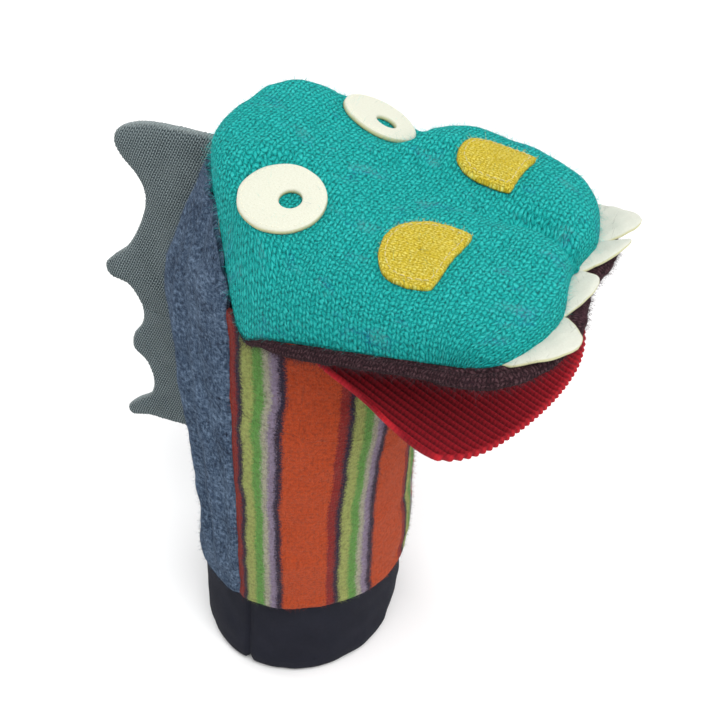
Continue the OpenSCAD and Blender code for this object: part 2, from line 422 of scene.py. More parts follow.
def strands(
    name: str,
    roots: Array,
    way: Array,
    cloth: Array,
    length: Array,
    width: float,
    rng: np.random.Generator,
    curl: float = 0.6,
) -> bpy.types.Object:
    """Many short tapered fibres, each a closed three-sided sliver.

    Args:
        name: The piece's name.
        roots: Where they leave the cloth.
        way: Unit direction of each at its root.
        cloth: Cloth coordinates of each root.
        length: Length of each.
        width: Radius at the root.
        rng: The seeded generator.
        curl: How strongly they bend.
    Returns:
        The object.
    """
    count = len(roots)
    side = unit(np.cross(way, rng.normal(size=(count, 3))))
    other = np.cross(way, side)
    bend = rng.normal(0, curl, (count, 1)) * side + rng.normal(0, curl * 0.5, (count, 1)) * other
    rings = []
    for t, r in ((0.0, 1.0), (0.35, 0.85), (0.7, 0.6)):
        centre = roots + (way * t + bend * t * t) * length[:, None]
        for k in range(3):
            a = 2 * math.pi * k / 3
            rings.append(centre + (side * math.cos(a) + other * math.sin(a)) * width * r)
    tip = roots + (way + bend) * length[:, None]
    low = roots - way * 0.3
    points = np.stack([*rings, tip, low], 1)
    local = []
    for ring in (0, 3):
        for k in range(3):
            n = (k + 1) % 3
            local.append((ring + k, ring + n, ring + 3 + n, ring + 3 + k))
    local += [(6 + k, 6 + (k + 1) % 3, 9, 9) for k in range(3)]
    local += [((k + 1) % 3, k, 10, 10) for k in range(3)]
    base = np.arange(count) * 11
    faces = [tuple(dict.fromkeys(int(b + v) for v in f)) for b in base for f in local]
    return make_mesh(
        name, points.reshape(-1, 3), faces, np.repeat(cloth, 11, 0), np.tile([0.0] * 9 + [1.0, 0.0], count)
    )


def fuzz(
    name: str, patch: Patch, count: int, length: float, width: float, seed: int, lie: float = 0.8
) -> bpy.types.Object:
    """The felted nap of a patch of wool.

    Args:
        name: The piece's name.
        patch: The surface that it grows from.
        count: Number of fibres.
        length: Mean length.
        width: Radius at the root.
        seed: Number of the pattern.
        lie: How far the fibres lean over, 0 for upright.
    Returns:
        The object.
    """
    rng = np.random.default_rng(seed)
    p, n, c = patch.sample(rng, count)
    way = n + lie * rng.normal(size=n.shape)
    inward = np.sum(way * n, 1, keepdims=True)
    way += n * np.maximum(0.25 - inward, 0)
    way = unit(way)
    long = length * rng.gamma(5, 0.2, count)
    return strands(name, p, way, c, long, width, rng)


# ---------------------------------------------------------------- finishes


class Graph:
    """A material's node tree with short ways to add nodes."""

    def __init__(self, name: str) -> None:
        """Starts a material with one surface shader.

        Args:
            name: The material's name.
        """
        self.material = bpy.data.materials.new(name)
        self.material.use_nodes = True
        self.tree = self.material.node_tree
        self.shader = self.tree.nodes["Principled BSDF"]

    def put(self, socket: bpy.types.NodeSocket, value: object) -> None:
        """Links a socket or sets its constant.

        Args:
            socket: The input to fill.
            value: A socket to link, or a constant.
        """
        if isinstance(value, bpy.types.NodeSocket):
            self.tree.links.new(value, socket)
        elif isinstance(value, tuple) and len(value) == 3 and socket.type == "RGBA":
            socket.default_value = (*value, 1.0)
        else:
            socket.default_value = value

    def add(self, kind: str, inputs: dict[str | int, object], **settings: object) -> bpy.types.Node:
        """A node with its settings and inputs.

        Args:
            kind: Blender's name of the node.
            inputs: Value or socket of each input.
            settings: Properties of the node.
        Returns:
            The node.
        """
        node = self.tree.nodes.new(kind)
        for key, value in settings.items():
            setattr(node, key, value)
        for key, value in inputs.items():
            self.put(node.inputs[key], value)
        return node

    def math(self, op: str, a: object, b: object = 0.0, c: object = 0.0) -> bpy.types.NodeSocket:
        """One arithmetic step."""
        return self.add("ShaderNodeMath", {0: a, 1: b, 2: c}, operation=op).outputs[0]

    def weigh(self, *parts: tuple[object, float]) -> bpy.types.NodeSocket:
        """A sum of values, each times its weight.

        Args:
            parts: Each value with its weight.
        Returns:
            The sum.
        """
        terms = [a if weight == 1.0 else self.math("MULTIPLY", a, weight) for a, weight in parts]
        total = terms[0]
        for term in terms[1:]:
            total = self.math("ADD", total, term)
        return total

    def place(self, built: bool) -> bpy.types.NodeSocket:
        """Coordinates in millimetres: of the cloth on built pieces, of the object on CAD ones.

        Args:
            built: Whether the piece has cloth coordinates of its own.
        Returns:
            The coordinates.
        """
        node = self.add("ShaderNodeTexCoord", {})
        if built:
            return node.outputs["UV"]
        return self.add(
            "ShaderNodeVectorMath", {0: node.outputs["Object"], "Scale": 1000.0}, operation="SCALE"
        ).outputs[0]

    def split(self, vector: bpy.types.NodeSocket) -> tuple[bpy.types.NodeSocket, bpy.types.NodeSocket]:
        """The first two parts of a vector."""
        node = self.add("ShaderNodeSeparateXYZ", {0: vector})
        return node.outputs[0], node.outputs[1]

    def stretch(self, vector: object, x: float, y: float) -> bpy.types.NodeSocket:
        """Coordinates scaled apart along the two directions."""
        return self.add("ShaderNodeMapping", {"Vector": vector, "Scale": (x, y, (x + y) / 2)}).outputs[0]

    def noise(
        self, vector: object, scale: float, detail: float = 3.0, rough: float = 0.55
    ) -> bpy.types.NodeSocket:
        """Soft cloud noise from 0 to 1."""
        return self.add(
            "ShaderNodeTexNoise", {"Vector": vector, "Scale": scale, "Detail": detail, "Roughness": rough}
        ).outputs[0]

    def span(
        self, value: object, low: float, high: float, to_low: float = 0.0, to_high: float = 1.0
    ) -> bpy.types.NodeSocket:
        """A value mapped from one range to another and clamped."""
        return self.add("ShaderNodeMapRange", {0: value, 1: low, 2: high, 3: to_low, 4: to_high}).outputs[0]

    def mix(self, share: object, a: object, b: object, blend: str = "MIX") -> bpy.types.NodeSocket:
        """Two colours mixed.

        Args:
            share: How much of the second colour shows.
            a: The first colour.
            b: The second colour.
            blend: Blender's name of the way they mix.
        Returns:
            The mixed colour.
        """
        node = self.add("ShaderNodeMix", {}, data_type="RGBA", blend_type=blend)
        for socket, value in zip([node.inputs[0], node.inputs[6], node.inputs[7]], [share, a, b]):
            self.put(socket, value)
        return node.outputs[2]

    def ramp(self, value: object, stops: Sequence[tuple[float, Colour]]) -> bpy.types.NodeSocket:
        """A colour read from a row of stops.

        Args:
            value: The place on the ramp.
            stops: Place and colour of each stop, in rising order.
        Returns:
            The colour.
        """
        node = self.add("ShaderNodeValToRGB", {0: value})
        bar = node.color_ramp.elements
        while len(bar) < len(stops):
            bar.new(1.0)
        for stop, (at, _) in zip(bar, stops):
            stop.position = at
        for stop, (_, colour) in zip(bar, stops):
            stop.color = (*colour, 1.0)
        return node.outputs[0]

    def edge(self) -> bpy.types.NodeSocket:
        """The edge value of the mesh."""
        return self.add("ShaderNodeAttribute", {}, attribute_name="edge").outputs["Fac"]

    def bump(
        self, height: object, distance: float, strength: float = 1.0, under: object = None
    ) -> bpy.types.NodeSocket:
        """A bumped normal; distance is in millimetres.

        Args:
            height: The height to bump by.
            distance: Height of a full step.
            strength: How strongly it shows.
            under: A normal that it builds on.
        Returns:
            The normal.
        """
        inputs: dict[str | int, object] = {
            "Strength": strength, "Distance": distance * 0.001, "Height": height
        }
        if under is not None:
            inputs["Normal"] = under
        return self.add("ShaderNodeBump", inputs).outputs[0]

    def finish(
        self, colour: object, rough: float, sheen: float, normal: object, tint: Colour = (1, 1, 1)
    ) -> bpy.types.Material:
        """Connects the surface.

        Args:
            colour: Base colour.
            rough: Roughness.
            sheen: Weight of the cloth sheen.
            normal: The bumped normal.
            tint: Colour of the sheen.
        Returns:
            The material.
        """
        self.put(self.shader.inputs["Base Color"], colour)
        self.put(self.shader.inputs["Roughness"], rough)
        self.put(self.shader.inputs["Specular IOR Level"], 0.18)
        self.put(self.shader.inputs["Sheen Weight"], sheen)
        self.put(self.shader.inputs["Sheen Roughness"], 0.45)
        self.put(self.shader.inputs["Sheen Tint"], tint)
        if normal is not None:
            self.put(self.shader.inputs["Normal"], normal)
        return self.material

    def knit(self, u: object, v: object, wale: float, course: float) -> bpy.types.NodeSocket:
        """The height of plain knitting: two slanted legs in every stitch.

        Args:
            u: Across the wales.
            v: Along the wales.
            wale: Width of a stitch.
            course: Height of a stitch.
        Returns:
            A height from 0 to 1.
        """
        across = self.math("DIVIDE", u, wale)
        part = self.math("ABSOLUTE", self.math("SUBTRACT", self.math("FRACT", across), 0.5))
        leg = self.math("SINE", self.math("MULTIPLY", part, 2 * math.pi))
        along = self.weigh((self.math("DIVIDE", v, course), 1.0), (part, 1.3))
        loop = self.math("ABSOLUTE", self.math("SINE", self.math("MULTIPLY", along, math.pi)))
        return self.math("MULTIPLY", self.math("POWER", leg, 0.7), self.math("POWER", loop, 0.6))


@dataclass(frozen=True)
class FeltedKnit:
    """Stockinette wool felted until its stitches half close."""

    name: str
    colour: Colour
    dark: Colour
    light: Colour
    flecks: tuple[Colour, Colour, Colour]
    wale: float = 3.7
    course: float = 2.7
    depth: float = 1.6
    fleck_share: float = 0.6
    built: bool = True

    def make(self) -> bpy.types.Material:
        """Builds the material.

        Returns:
            The material.
        """
        g = Graph(self.name)
        at = g.place(self.built)
        wander = g.add(
            "ShaderNodeTexNoise", {"Vector": at, "Scale": 0.3, "Detail": 4.0, "Roughness": 0.6}
        ).outputs[1]
        bent = g.add(
            "ShaderNodeVectorMath", {0: wander, 1: (3.6, 3.6, 3.6), 2: at}, operation="MULTIPLY_ADD"
        ).outputs[0]
        u, v = g.split(bent)
        knit = g.knit(u, v, self.wale, self.course)
        felt = g.noise(at, 0.85, 5.0, 0.8)
        cover = g.span(g.noise(at, 0.35, 3.0), 0.38, 0.6, 0.55, 1.0)
        shown = g.math("MULTIPLY", knit, cover)
        height = g.weigh((shown, 1.0), (felt, 1.5))
        tone = g.ramp(
            g.weigh((shown, 0.36), (felt, 0.66)),
            [(0.30, self.dark), (0.48, self.colour), (0.68, self.light)],
        )
        patch = g.noise(g.stretch(at, 1.0, 1.6), 0.045, 3.0, 0.6)
        fine = g.noise(at, 0.9, 3.0, 0.7)
        place = g.math("MULTIPLY", g.span(patch, 0.56, 0.68), g.span(fine, 0.42, 0.6))
        hue = g.ramp(
            g.noise(at, 0.11, 2.0), [(0.42, self.flecks[0]), (0.5, self.flecks[1]), (0.6, self.flecks[2])]
        )
        colour = g.mix(g.math("MULTIPLY", place, self.fleck_share), tone, hue)
        hair = g.noise(g.stretch(at, 3.6, 0.8), 0.6, 3.0, 0.7)
        colour = g.mix(g.span(hair, 0.56, 0.74, 0.0, 0.5), colour, self.light)
        normal = g.bump(height, self.depth)
        return g.finish(colour, 0.95, 0.10, normal, self.light)


@dataclass(frozen=True)
class StripedWool:
    """Felted wool knitted in stripes that run up the cloth."""

    name: str
    stripes: tuple[tuple[float, Colour], ...]
    start: float

    def make(self) -> bpy.types.Material:
        """Builds the material.

        Returns:
            The material.
        """
        g = Graph(self.name)
        at = g.place(True)
        u, v = g.split(at)
        slow = g.noise(g.stretch(at, 0.5, 1.0), 0.05, 2.0)
        ragged = g.noise(g.stretch(at, 0.8, 1.0), 1.1, 4.0, 0.8)
        shift = g.math("ADD", g.span(slow, 0.3, 0.7, -1.0, 1.0), g.span(ragged, 0.25, 0.75, -1.9, 1.9))
        period = sum(w for w, _ in self.stripes)
        moved = g.math("ADD", g.math("ADD", u, shift), period * 10 - self.start)
        turn = g.math("FRACT", g.math("DIVIDE", moved, period))
        stops: list[tuple[float, Colour]] = []
        place = 0.0
        soft = 0.8 / period
        for width, colour in self.stripes:
            stops.append((min(place + soft, 1.0), colour))
            place += width / period
            stops.append((max(place - soft, 0.0), colour))
        band = g.ramp(turn, stops)
        felt = g.noise(at, 0.6, 5.0, 0.7)
        hair = g.noise(g.stretch(at, 3.0, 0.6), 0.6, 4.0, 0.7)
        cross = g.noise(g.stretch(at, 0.6, 3.0), 0.6, 4.0, 0.7)
        band = g.mix(g.span(felt, 0.36, 0.56, 0.42, 0.0), band, (0.03, 0.012, 0.012))
        band = g.mix(g.span(hair, 0.55, 0.8, 0.0, 0.22), band, (0.62, 0.34, 0.20))
        band = g.mix(g.span(cross, 0.56, 0.8, 0.0, 0.22), band, (0.10, 0.02, 0.02))
        band = g.mix(g.math("MULTIPLY", g.edge(), 0.35), band, (0.12, 0.02, 0.02))
        knit = g.knit(u, v, 2.3, 1.8)
        height = g.weigh((felt, 0.9), (knit, 0.2))
        return g.finish(band, 0.95, 0.10, g.bump(height, 1.3), (0.9, 0.6, 0.5))


@dataclass(frozen=True)
class HeatherWool:
    """Brushed wool of mixed fibres, with the knit nearly felted away."""

    name: str
    colour: Colour
    dark: Colour
    light: Colour
    built: bool = True

    def make(self) -> bpy.types.Material:
        """Builds the material.

        Returns:
            The material.
        """
        g = Graph(self.name)
        at = g.place(self.built)
        cloud = g.noise(at, 0.06, 4.0, 0.65)
        felt = g.noise(at, 0.5, 5.0, 0.75)
        hair = g.noise(g.stretch(at, 2.8, 0.5), 0.55, 4.0, 0.7)
        cross = g.noise(g.stretch(at, 0.6, 2.6), 0.55, 4.0, 0.7)
        tone = g.ramp(
            g.weigh((cloud, 0.26), (felt, 0.74)),
            [(0.38, self.dark), (0.50, self.colour), (0.64, self.light)],
        )
        tone = g.mix(g.span(hair, 0.52, 0.72, 0.0, 0.7), tone, self.light)
        tone = g.mix(g.span(cross, 0.54, 0.74, 0.0, 0.6), tone, self.dark)
        height = g.weigh((felt, 1.0), (hair, 0.5))
        return g.finish(tone, 0.95, 0.12, g.bump(height, 1.3), self.light)


@dataclass(frozen=True)
class Jersey:
    """Fine machine knit."""

    name: str
    colour: Colour
    dark: Colour
    light: Colour
    wale: float = 0.95
    course: float = 0.75
    # Colour of a painted highlight along the edges, or None for none
    painted_edge_highlight: Colour | None = None
    built: bool = True

    def make(self) -> bpy.types.Material:
        """Builds the material.

        Returns:
            The material.
        """
        g = Graph(self.name)
        at = g.place(self.built)
        wander = g.add("ShaderNodeTexNoise", {"Vector": at, "Scale": 0.08, "Detail": 2.0}).outputs[1]
        bent = g.add(
            "ShaderNodeVectorMath", {0: wander, 1: (1.6, 1.6, 1.6), 2: at}, operation="MULTIPLY_ADD"
        ).outputs[0]
        u, v = g.split(bent)
        knit = g.knit(u, v, self.wale, self.course)
        cloud = g.noise(at, 0.05, 4.0, 0.6)
        lint = g.noise(at, 0.7, 5.0, 0.75)
        mixed = g.weigh((knit, 0.5), (g.math("ADD", cloud, lint), 0.25))
        tone = g.ramp(mixed, [(0.34, self.dark), (0.46, self.colour), (0.58, self.light)])
        # Painted highlight: the colour turns paler toward the edges, where the folded jersey catches the
        # light
        if self.painted_edge_highlight is not None:
            tone = g.mix(g.math("MULTIPLY", g.span(g.edge(), 0.3, 1.0), 0.8), tone, self.painted_edge_highlight)
        height = g.weigh((knit, 1.0), (lint, 0.8))
        return g.finish(tone, 0.9, 0.06, g.bump(height, 0.4 * self.wale), self.light)


@dataclass(frozen=True)
class RibKnit:
    """Ribbed knit: its ribs are modelled, its stitches are not.

    The edge value of the mesh is the height on a rib, raised along the rolled rim; the colour ramp on it
    paints shade into the rib valleys and the deep inside, and a painted highlight on the rib tops and the
    rim.
    """

    name: str
    colour: Colour
    deep: Colour
    light: Colour
    course: float = 1.7

    def make(self) -> bpy.types.Material:
        """Builds the material.

        Returns:
            The material.
        """
        g = Graph(self.name)
        at = g.place(True)
        u, v = g.split(at)
        # lift is the edge value that drives the painted shade and the painted highlight of the ribs and the
        # rim
        lift = g.edge()
        slant = g.weigh((g.math("DIVIDE", v, self.course), 1.0), (lift, 0.55))
        loop = g.math("ABSOLUTE", g.math("SINE", g.math("MULTIPLY", slant, math.pi)))
        felt = g.noise(at, 0.9, 5.0, 0.7)
        mixed = g.weigh((lift, 0.62), (g.weigh((loop, 0.08), (felt, 0.3)), 1.0))
        # deep is painted shade for the rib valleys and the jaw's inside; light is a painted highlight for the
        # rib tops and the rim
        tone = g.ramp(mixed, [(0.12, self.deep), (0.55, self.colour), (0.95, self.light)])
        height = g.weigh((loop, 0.3), (felt, 1.0))
        return g.finish(tone, 0.88, 0.18, g.bump(height, 0.5), self.light)


@dataclass(frozen=True)
class CraftFelt:
    """Pressed wool felt with a duller cut edge."""

    name: str
    colour: Colour
    rim: Colour
    shade: Colour
    nap: float = 0.35

    def make(self) -> bpy.types.Material:
        """Builds the material.

        Returns:
            The material.
        """
        g = Graph(self.name)
        at = g.place(True)
        felt = g.noise(at, 1.1, 5.0, 0.7)
        hair = g.noise(g.stretch(at, 2.6, 0.8), 1.0, 4.0, 0.7)
        tone = g.mix(g.span(felt, 0.35, 0.65, 0.4, 0.0), self.colour, self.shade)
        tone = g.mix(g.span(hair, 0.62, 0.8, 0.0, 0.25), tone, self.shade)
        tone = g.mix(g.span(g.edge(), 0.25, 0.95, 0.0, 0.85), tone, self.rim)
        return g.finish(tone, 0.95, 0.2, g.bump(g.weigh((felt, 1.0), (hair, 0.6)), self.nap))


@dataclass(frozen=True)
class Plain:
    """An inner material with fine grain: board, thread or loose fibre."""

    name: str
    colour: Colour
    dark: Colour
    rough: float
    scale: float
    depth: float
    built: bool = False

    def make(self) -> bpy.types.Material:
        """Builds the material.

        Returns:
            The material.
        """
        g = Graph(self.name)
        at = g.place(self.built)
        grain = g.noise(at, self.scale, 5.0, 0.65)
        long = g.noise(g.stretch(at, 0.3, 2.0), self.scale, 4.0, 0.6)
        tone = g.mix(g.span(g.math("ADD", grain, long), 0.8, 1.2), self.dark, self.colour)
        return g.finish(tone, self.rough, 0.05, g.bump(grain, self.depth))


# Colours of the belly's stripes
ORANGE: Colour = (0.43, 0.057, 0.013)
RED: Colour = (0.22, 0.018, 0.016)
NAVY: Colour = (0.016, 0.014, 0.034)
LIME: Colour = (0.29, 0.34, 0.10)
GREEN: Colour = (0.10, 0.27, 0.06)
PALE: Colour = (0.34, 0.34, 0.25)
LAVENDER: Colour = (0.22, 0.18, 0.26)


@dataclass
class Finishes:
    """Every finish of the puppet, built once."""

    made: dict[Slot, bpy.types.Material] = field(default_factory=dict)
    inner: dict[Slot, bpy.types.Material] = field(default_factory=dict)
    thread: dict[str, bpy.types.Material] = field(default_factory=dict)

    def build(self) -> "Finishes":
        """Makes the materials.

        Returns:
            The finishes themselves.
        """
        teal = ((0.005, 0.49, 0.465), (0.0008, 0.105, 0.105), (0.05, 0.78, 0.73))
        lint = ((0.10, 0.03, 0.05), (0.07, 0.03, 0.06), (0.12, 0.06, 0.05))
        plum = ((0.035, 0.013, 0.018), (0.008, 0.004, 0.006), (0.12, 0.06, 0.07))
        stripes = (
            (4.0, RED), (2.8, NAVY), (5.0, LIME), (4.5, GREEN),
            (2.8, PALE), (3.3, LAVENDER), (3.2, NAVY), (23.4, ORANGE),
        )
        navy = ((0.046, 0.076, 0.130), (0.006, 0.010, 0.024), (0.19, 0.27, 0.38))
        cuff = ((0.0062, 0.0066, 0.0135), (0.002, 0.0025, 0.005), (0.024, 0.026, 0.042))
        lining = ((0.03, 0.036, 0.07), (0.01, 0.012, 0.026), (0.06, 0.07, 0.12))
        finishes = {
            Slot.HEAD: FeltedKnit(
                "head_wool", *teal, ((0.012, 0.12, 0.40), (0.10, 0.20, 0.46), (0.16, 0.42, 0.46))
            ),
            Slot.MOUTH: FeltedKnit("mouth_wool", *plum, lint, wale=3.0, course=2.2, depth=0.9),
            Slot.BELLY: StripedWool("belly_wool", stripes, 0.0),
            Slot.BACK: HeatherWool("back_wool", *navy),
            Slot.CUFF: Jersey("cuff_jersey", *cuff, wale=0.9, course=0.7),
            Slot.CREST: Jersey(
                "crest_jersey",
                (0.090, 0.125, 0.133),
                (0.022, 0.036, 0.042),
                (0.24, 0.29, 0.30),
                wale=2.3,
                course=1.8,
                # painted highlight along the crest's folded edges
                painted_edge_highlight=(0.34, 0.39, 0.39),
            ),
            # jaw red, then painted shade for the rib valleys and inside, then a painted highlight for the rib
            # tops and rim
            Slot.JAW: RibKnit("jaw_rib", (0.30, 0.008, 0.016), (0.030, 0.002, 0.005), (0.62, 0.022, 0.030)),
            Slot.EYE: CraftFelt("eye_felt", (0.62, 0.625, 0.53), (0.42, 0.40, 0.17), (0.50, 0.49, 0.36)),
            Slot.NOSTRIL: FeltedKnit(
                "nostril_felt", (0.76, 0.58, 0.035), (0.42, 0.27, 0.008), (0.92, 0.82, 0.20),
                ((0.80, 0.62, 0.03), (0.86, 0.74, 0.10), (0.64, 0.46, 0.03)), wale=2.4, course=1.8, depth=1.0
            ),
            Slot.TOOTH: CraftFelt(
                "tooth_felt", (0.56, 0.57, 0.50), (0.42, 0.41, 0.21), (0.46, 0.46, 0.38), nap=0.25
            ),
        }
        for key, finish in finishes.items():
            self.made[key] = finish.make()
        inner = {
            Slot.LINING: Jersey("lining_jersey", *lining, built=False),
            Slot.MOUTH: FeltedKnit("fold_wool", *plum, lint, built=False),
            Slot.PLATE: Plain("plate_board", (0.55, 0.50, 0.40), (0.40, 0.35, 0.26), 0.7, 0.5, 0.15),
            Slot.FILL: Plain("stuffing_fill", (0.82, 0.82, 0.80), (0.62, 0.62, 0.60), 0.95, 0.7, 0.9),
        }
        for key, finish in inner.items():
            self.inner[key] = finish.make()
        self.thread["cream"] = Plain(
            "thread_cream", (0.80, 0.78, 0.66), (0.6, 0.58, 0.45), 0.7, 3.0, 0.05
        ).make()
        self.thread["straw"] = Plain(
            "thread_straw", (0.74, 0.66, 0.32), (0.5, 0.4, 0.1), 0.6, 3.0, 0.05
        ).make()
        return self


# ---------------------------------------------------------------- body tube


# Half width, half depth and setback of the body's tube against its height
TUBE_X = table(
    [(40, 54.6), (52, 56), (75, 59), (110, 58), (150, 56), (186, 51.5), (230, 50), (257, 43), (272, 38)]
)
TUBE_Y = table([
    (40, 51), (52, 51.5), (75, 51.2), (110, 52.2), (150, 58.5), (186, 63), (206, 61.5), (230, 52),
    (257, 38.5), (272, 32),
])
TUBE_C = table([(40, 0), (75, -2.4), (110, -1.4), (150, 0.6), (186, 2.5), (230, 4), (257, 5.5), (272, 6)])


def neck_top(a: Array) -> Array:
    """Height of the line under the head where the cloth changes bodies."""
    return 165 - 14 * np.cos(np.radians(a))


class Part(Enum):
    """The three panels of cloth round the body, by the angle from the front at which each starts and ends."""

    BELLY = (-95.0, 90.0)
    RIGHT = (-180.0, -95.0)
    LEFT = (90.0, 180.0)


@dataclass
class BodySkins:
    """The wool panels from the hem to the head and the nap on them."""

    finishes: Finishes
    hem: float = 46.2
    thick: float = 2.7
    mean_r: float = 57.0
    throat: Callable = field(default_factory=lambda: table([
        (0, 176.5), (25, 184), (40, 197), (52, 205.5), (60, 210), (75, 213.5), (90, 215),
    ]))
    nape: Callable = field(default_factory=lambda: table([
        (90, 217), (101, 240), (115, 257), (140, 263.5), (180, 264.5),
    ]))

    def hem_line(self, a: Array) -> Array:
        """Height of the wavy hem at the angle a."""
        return self.hem + 0.5 * np.sin(np.radians(a * 5)) + 0 * a

    def surface(self, a: Array, z: Array, part: Part) -> Array:
        """Outside of the cloth at angle a and height z.

        Args:
            a: Angle from the front in degrees.
            z: Height.
            part: The panel of cloth.
        Returns:
            Points with a last axis of three.
        """
        r = np.radians(a)
        u, v = a * 1.0, z
        bulk = 1.1 * ripple(u, v, 60, 11) + 0.35 * ripple(u, v, 17, 12)
        if part is not Part.BELLY:
            side = np.abs(a)
            above = ease((z - 52) / 30)
            for centre, drift, width, deep in (
                (122, 0.05, 4.5, 2.6), (146, -0.04, 5.5, 2.2), (106, 0.08, 4.0, 1.4)
            ):
                line = centre + drift * (z - 110) + 2.5 * np.sin(z / 23 + centre)
                bulk = bulk - deep * bell(side, line, width) * above
                bulk = bulk + 0.7 * deep * bell(side - line, 2.3 * width, width) * above
        low, high = part.value
        near = np.minimum(np.abs(a - low), np.abs(a - high))
        dip = 1.5 * bell(near, 0, 2.2)
        roll = 1.0 * bell(z - self.hem, 3.5, 4.0) - 1.6 * ease((self.hem + 3 - z) / 3)
        d = bulk - dip + roll
        x = (TUBE_X(z) + d) * np.sin(r)
        y = TUBE_C(z) - (TUBE_Y(z) + d) * np.cos(r)
        return np.stack([x, y, z], -1)

    def around(self, a: Array) -> Array:
        """Length of cloth from the belly's right edge to the angle a."""
        return (a - Part.BELLY.value[0]) * (math.pi / 180) * self.mean_r

    def patch(self, part: Part, low: Callable, high: Callable, rows: int, cols: int) -> Patch:
        """One panel between two edges that depend on the angle.

        Args:
            part: The panel of cloth.
            low: Height of its lower edge at an angle.
            high: Height of its upper edge at an angle.
            rows: Points from edge to edge.
            cols: Points from seam to seam.
        Returns:
            The patch.
        """
        a0, a1 = part.value
        a = np.linspace(a0, a1, cols)[None, :]
        t = np.linspace(0, 1, rows)[:, None]
        z = low(a) * (1 - t) + high(a) * t
        a = np.broadcast_to(a, z.shape)
        points = self.surface(a, z, part)
        near = np.minimum(np.abs(a - a0), np.abs(a - a1)) * 0.99
        edge = bell(near, 0, 1.6)
        return Patch(points, np.stack([self.around(a), z], -1), edge)

    def build(self) -> list[bpy.types.Object]:
        """Builds the lower and upper panels.

        Returns:
            The skins and naps, from the belly round.
        """
        made = []
        plans = (
            ("belly", Part.BELLY, 220, self.throat, Slot.BELLY, 9000, ("throat_panel",)),
            ("back_right", Part.RIGHT, 120, self.nape, Slot.BACK, 6500, ("wrist_fold_right", "nape_right")),
            ("back_left", Part.LEFT, 120, self.nape, Slot.BACK, 4500, ("wrist_fold_left", "nape_left")),
        )
        for name, part, cols, rim, slot, hairs, top_nodes in plans:
            stem, _, side = name.partition("_")
            tail = f"_{side}" if side else ""
            tube_nodes = (f"{stem}_lower{tail}", f"{stem}_upper{tail}")
            lower = self.patch(part, self.hem_line, lambda a: neck_top(a) + 0.6, 100, cols)
            upper = self.patch(part, neck_top, lambda a: rim(np.abs(a)), 90, cols)
            for patch, level, nodes, blend, share in (
                (lower, "lower", tube_nodes, TWIST, 1.0),
                (upper, "upper", top_nodes, NOD, 0.6),
            ):
                skin = shell(f"{name}_skin_{level}", patch, self.thick)
                nap = fuzz(f"{name}_nap_{level}", patch, int(hairs * share), 1.4, 0.04, 31 + cols + len(made))
                for piece in (skin, nap):
                    dress(piece, self.finishes.made[slot])
                    blend.apply(piece)
                    made.append(piece)
                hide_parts(*nodes)
        made.append(self.gusset())
        return made

    def gusset(self) -> bpy.types.Object:
        """The fold of belly wool that joins the throat to the chin, so that no hole opens when the jaw moves.

        Returns:
            The object.
        """
        a = np.linspace(-78, 78, 120)[None, :]
        t = np.linspace(0, 1, 26)[:, None]
        z = self.throat(np.abs(a)) - 5.0 + 0 * t
        root = self.surface(np.broadcast_to(a, z.shape), z, Part.BELLY)
        root[..., :2] *= 0.945
        reach = 3.5 + 12.5 * ease((80 - np.abs(a)) / 50)
        points = root + (reach * t)[..., None] * np.array([0.0, -0.70, 0.72])
        points = points + np.array([0.0, 0.0, 2.0]) * t[..., None]
        points[..., 0] *= 1 - 0.05 * t
        around = self.around(np.broadcast_to(a, z.shape))
        patch = Patch(points, np.stack([around, z + reach * t], -1), 0 * z)
        piece = shell("throat_gusset", patch, 1.2)
        dress(piece, self.finishes.made[Slot.BELLY])
        CHIN.apply(piece)
        return piece


@dataclass(frozen=True)
class Bend:
    """A stretch of cloth that turns from one body to the next."""

    a: Body
    b: Body
    start: tuple[float, float, float]
    end: tuple[float, float, float]

    def apply(self, piece: bpy.types.Object) -> None:
        """Bakes a finished piece's transform into its mesh."""
        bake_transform(piece)


# The twist of the sleeve, the wrist and the throat, in metres
TWIST = Bend(Body.SLEEVE, Body.NECK, (0, 0, 0.060), (0, 0, 0.148))
NOD = Bend(Body.NECK, Body.HEAD, (0, 0.005, 0.168), (0, -0.0032, 0.202))
CHIN = Bend(Body.HEAD, Body.JAW, (0, -0.0560, 0.1735), (0, -0.0665, 0.1850))


def dress(piece: bpy.types.Object, material: bpy.types.Material) -> None:
    """Gives a piece its material, and logs it.

    Args:
        piece: The piece.
        material: Its material.
    """
    piece.data.materials.clear()
    piece.data.materials.append(material)
    LOG.info("%s: %d faces, %s", piece.name, len(piece.data.polygons), material.name)


def place_on(piece: bpy.types.Object, material: bpy.types.Material, body: Body) -> None:
    """Dresses a piece and sets it on its body."""
    dress(piece, material)
    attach(piece, body.value)


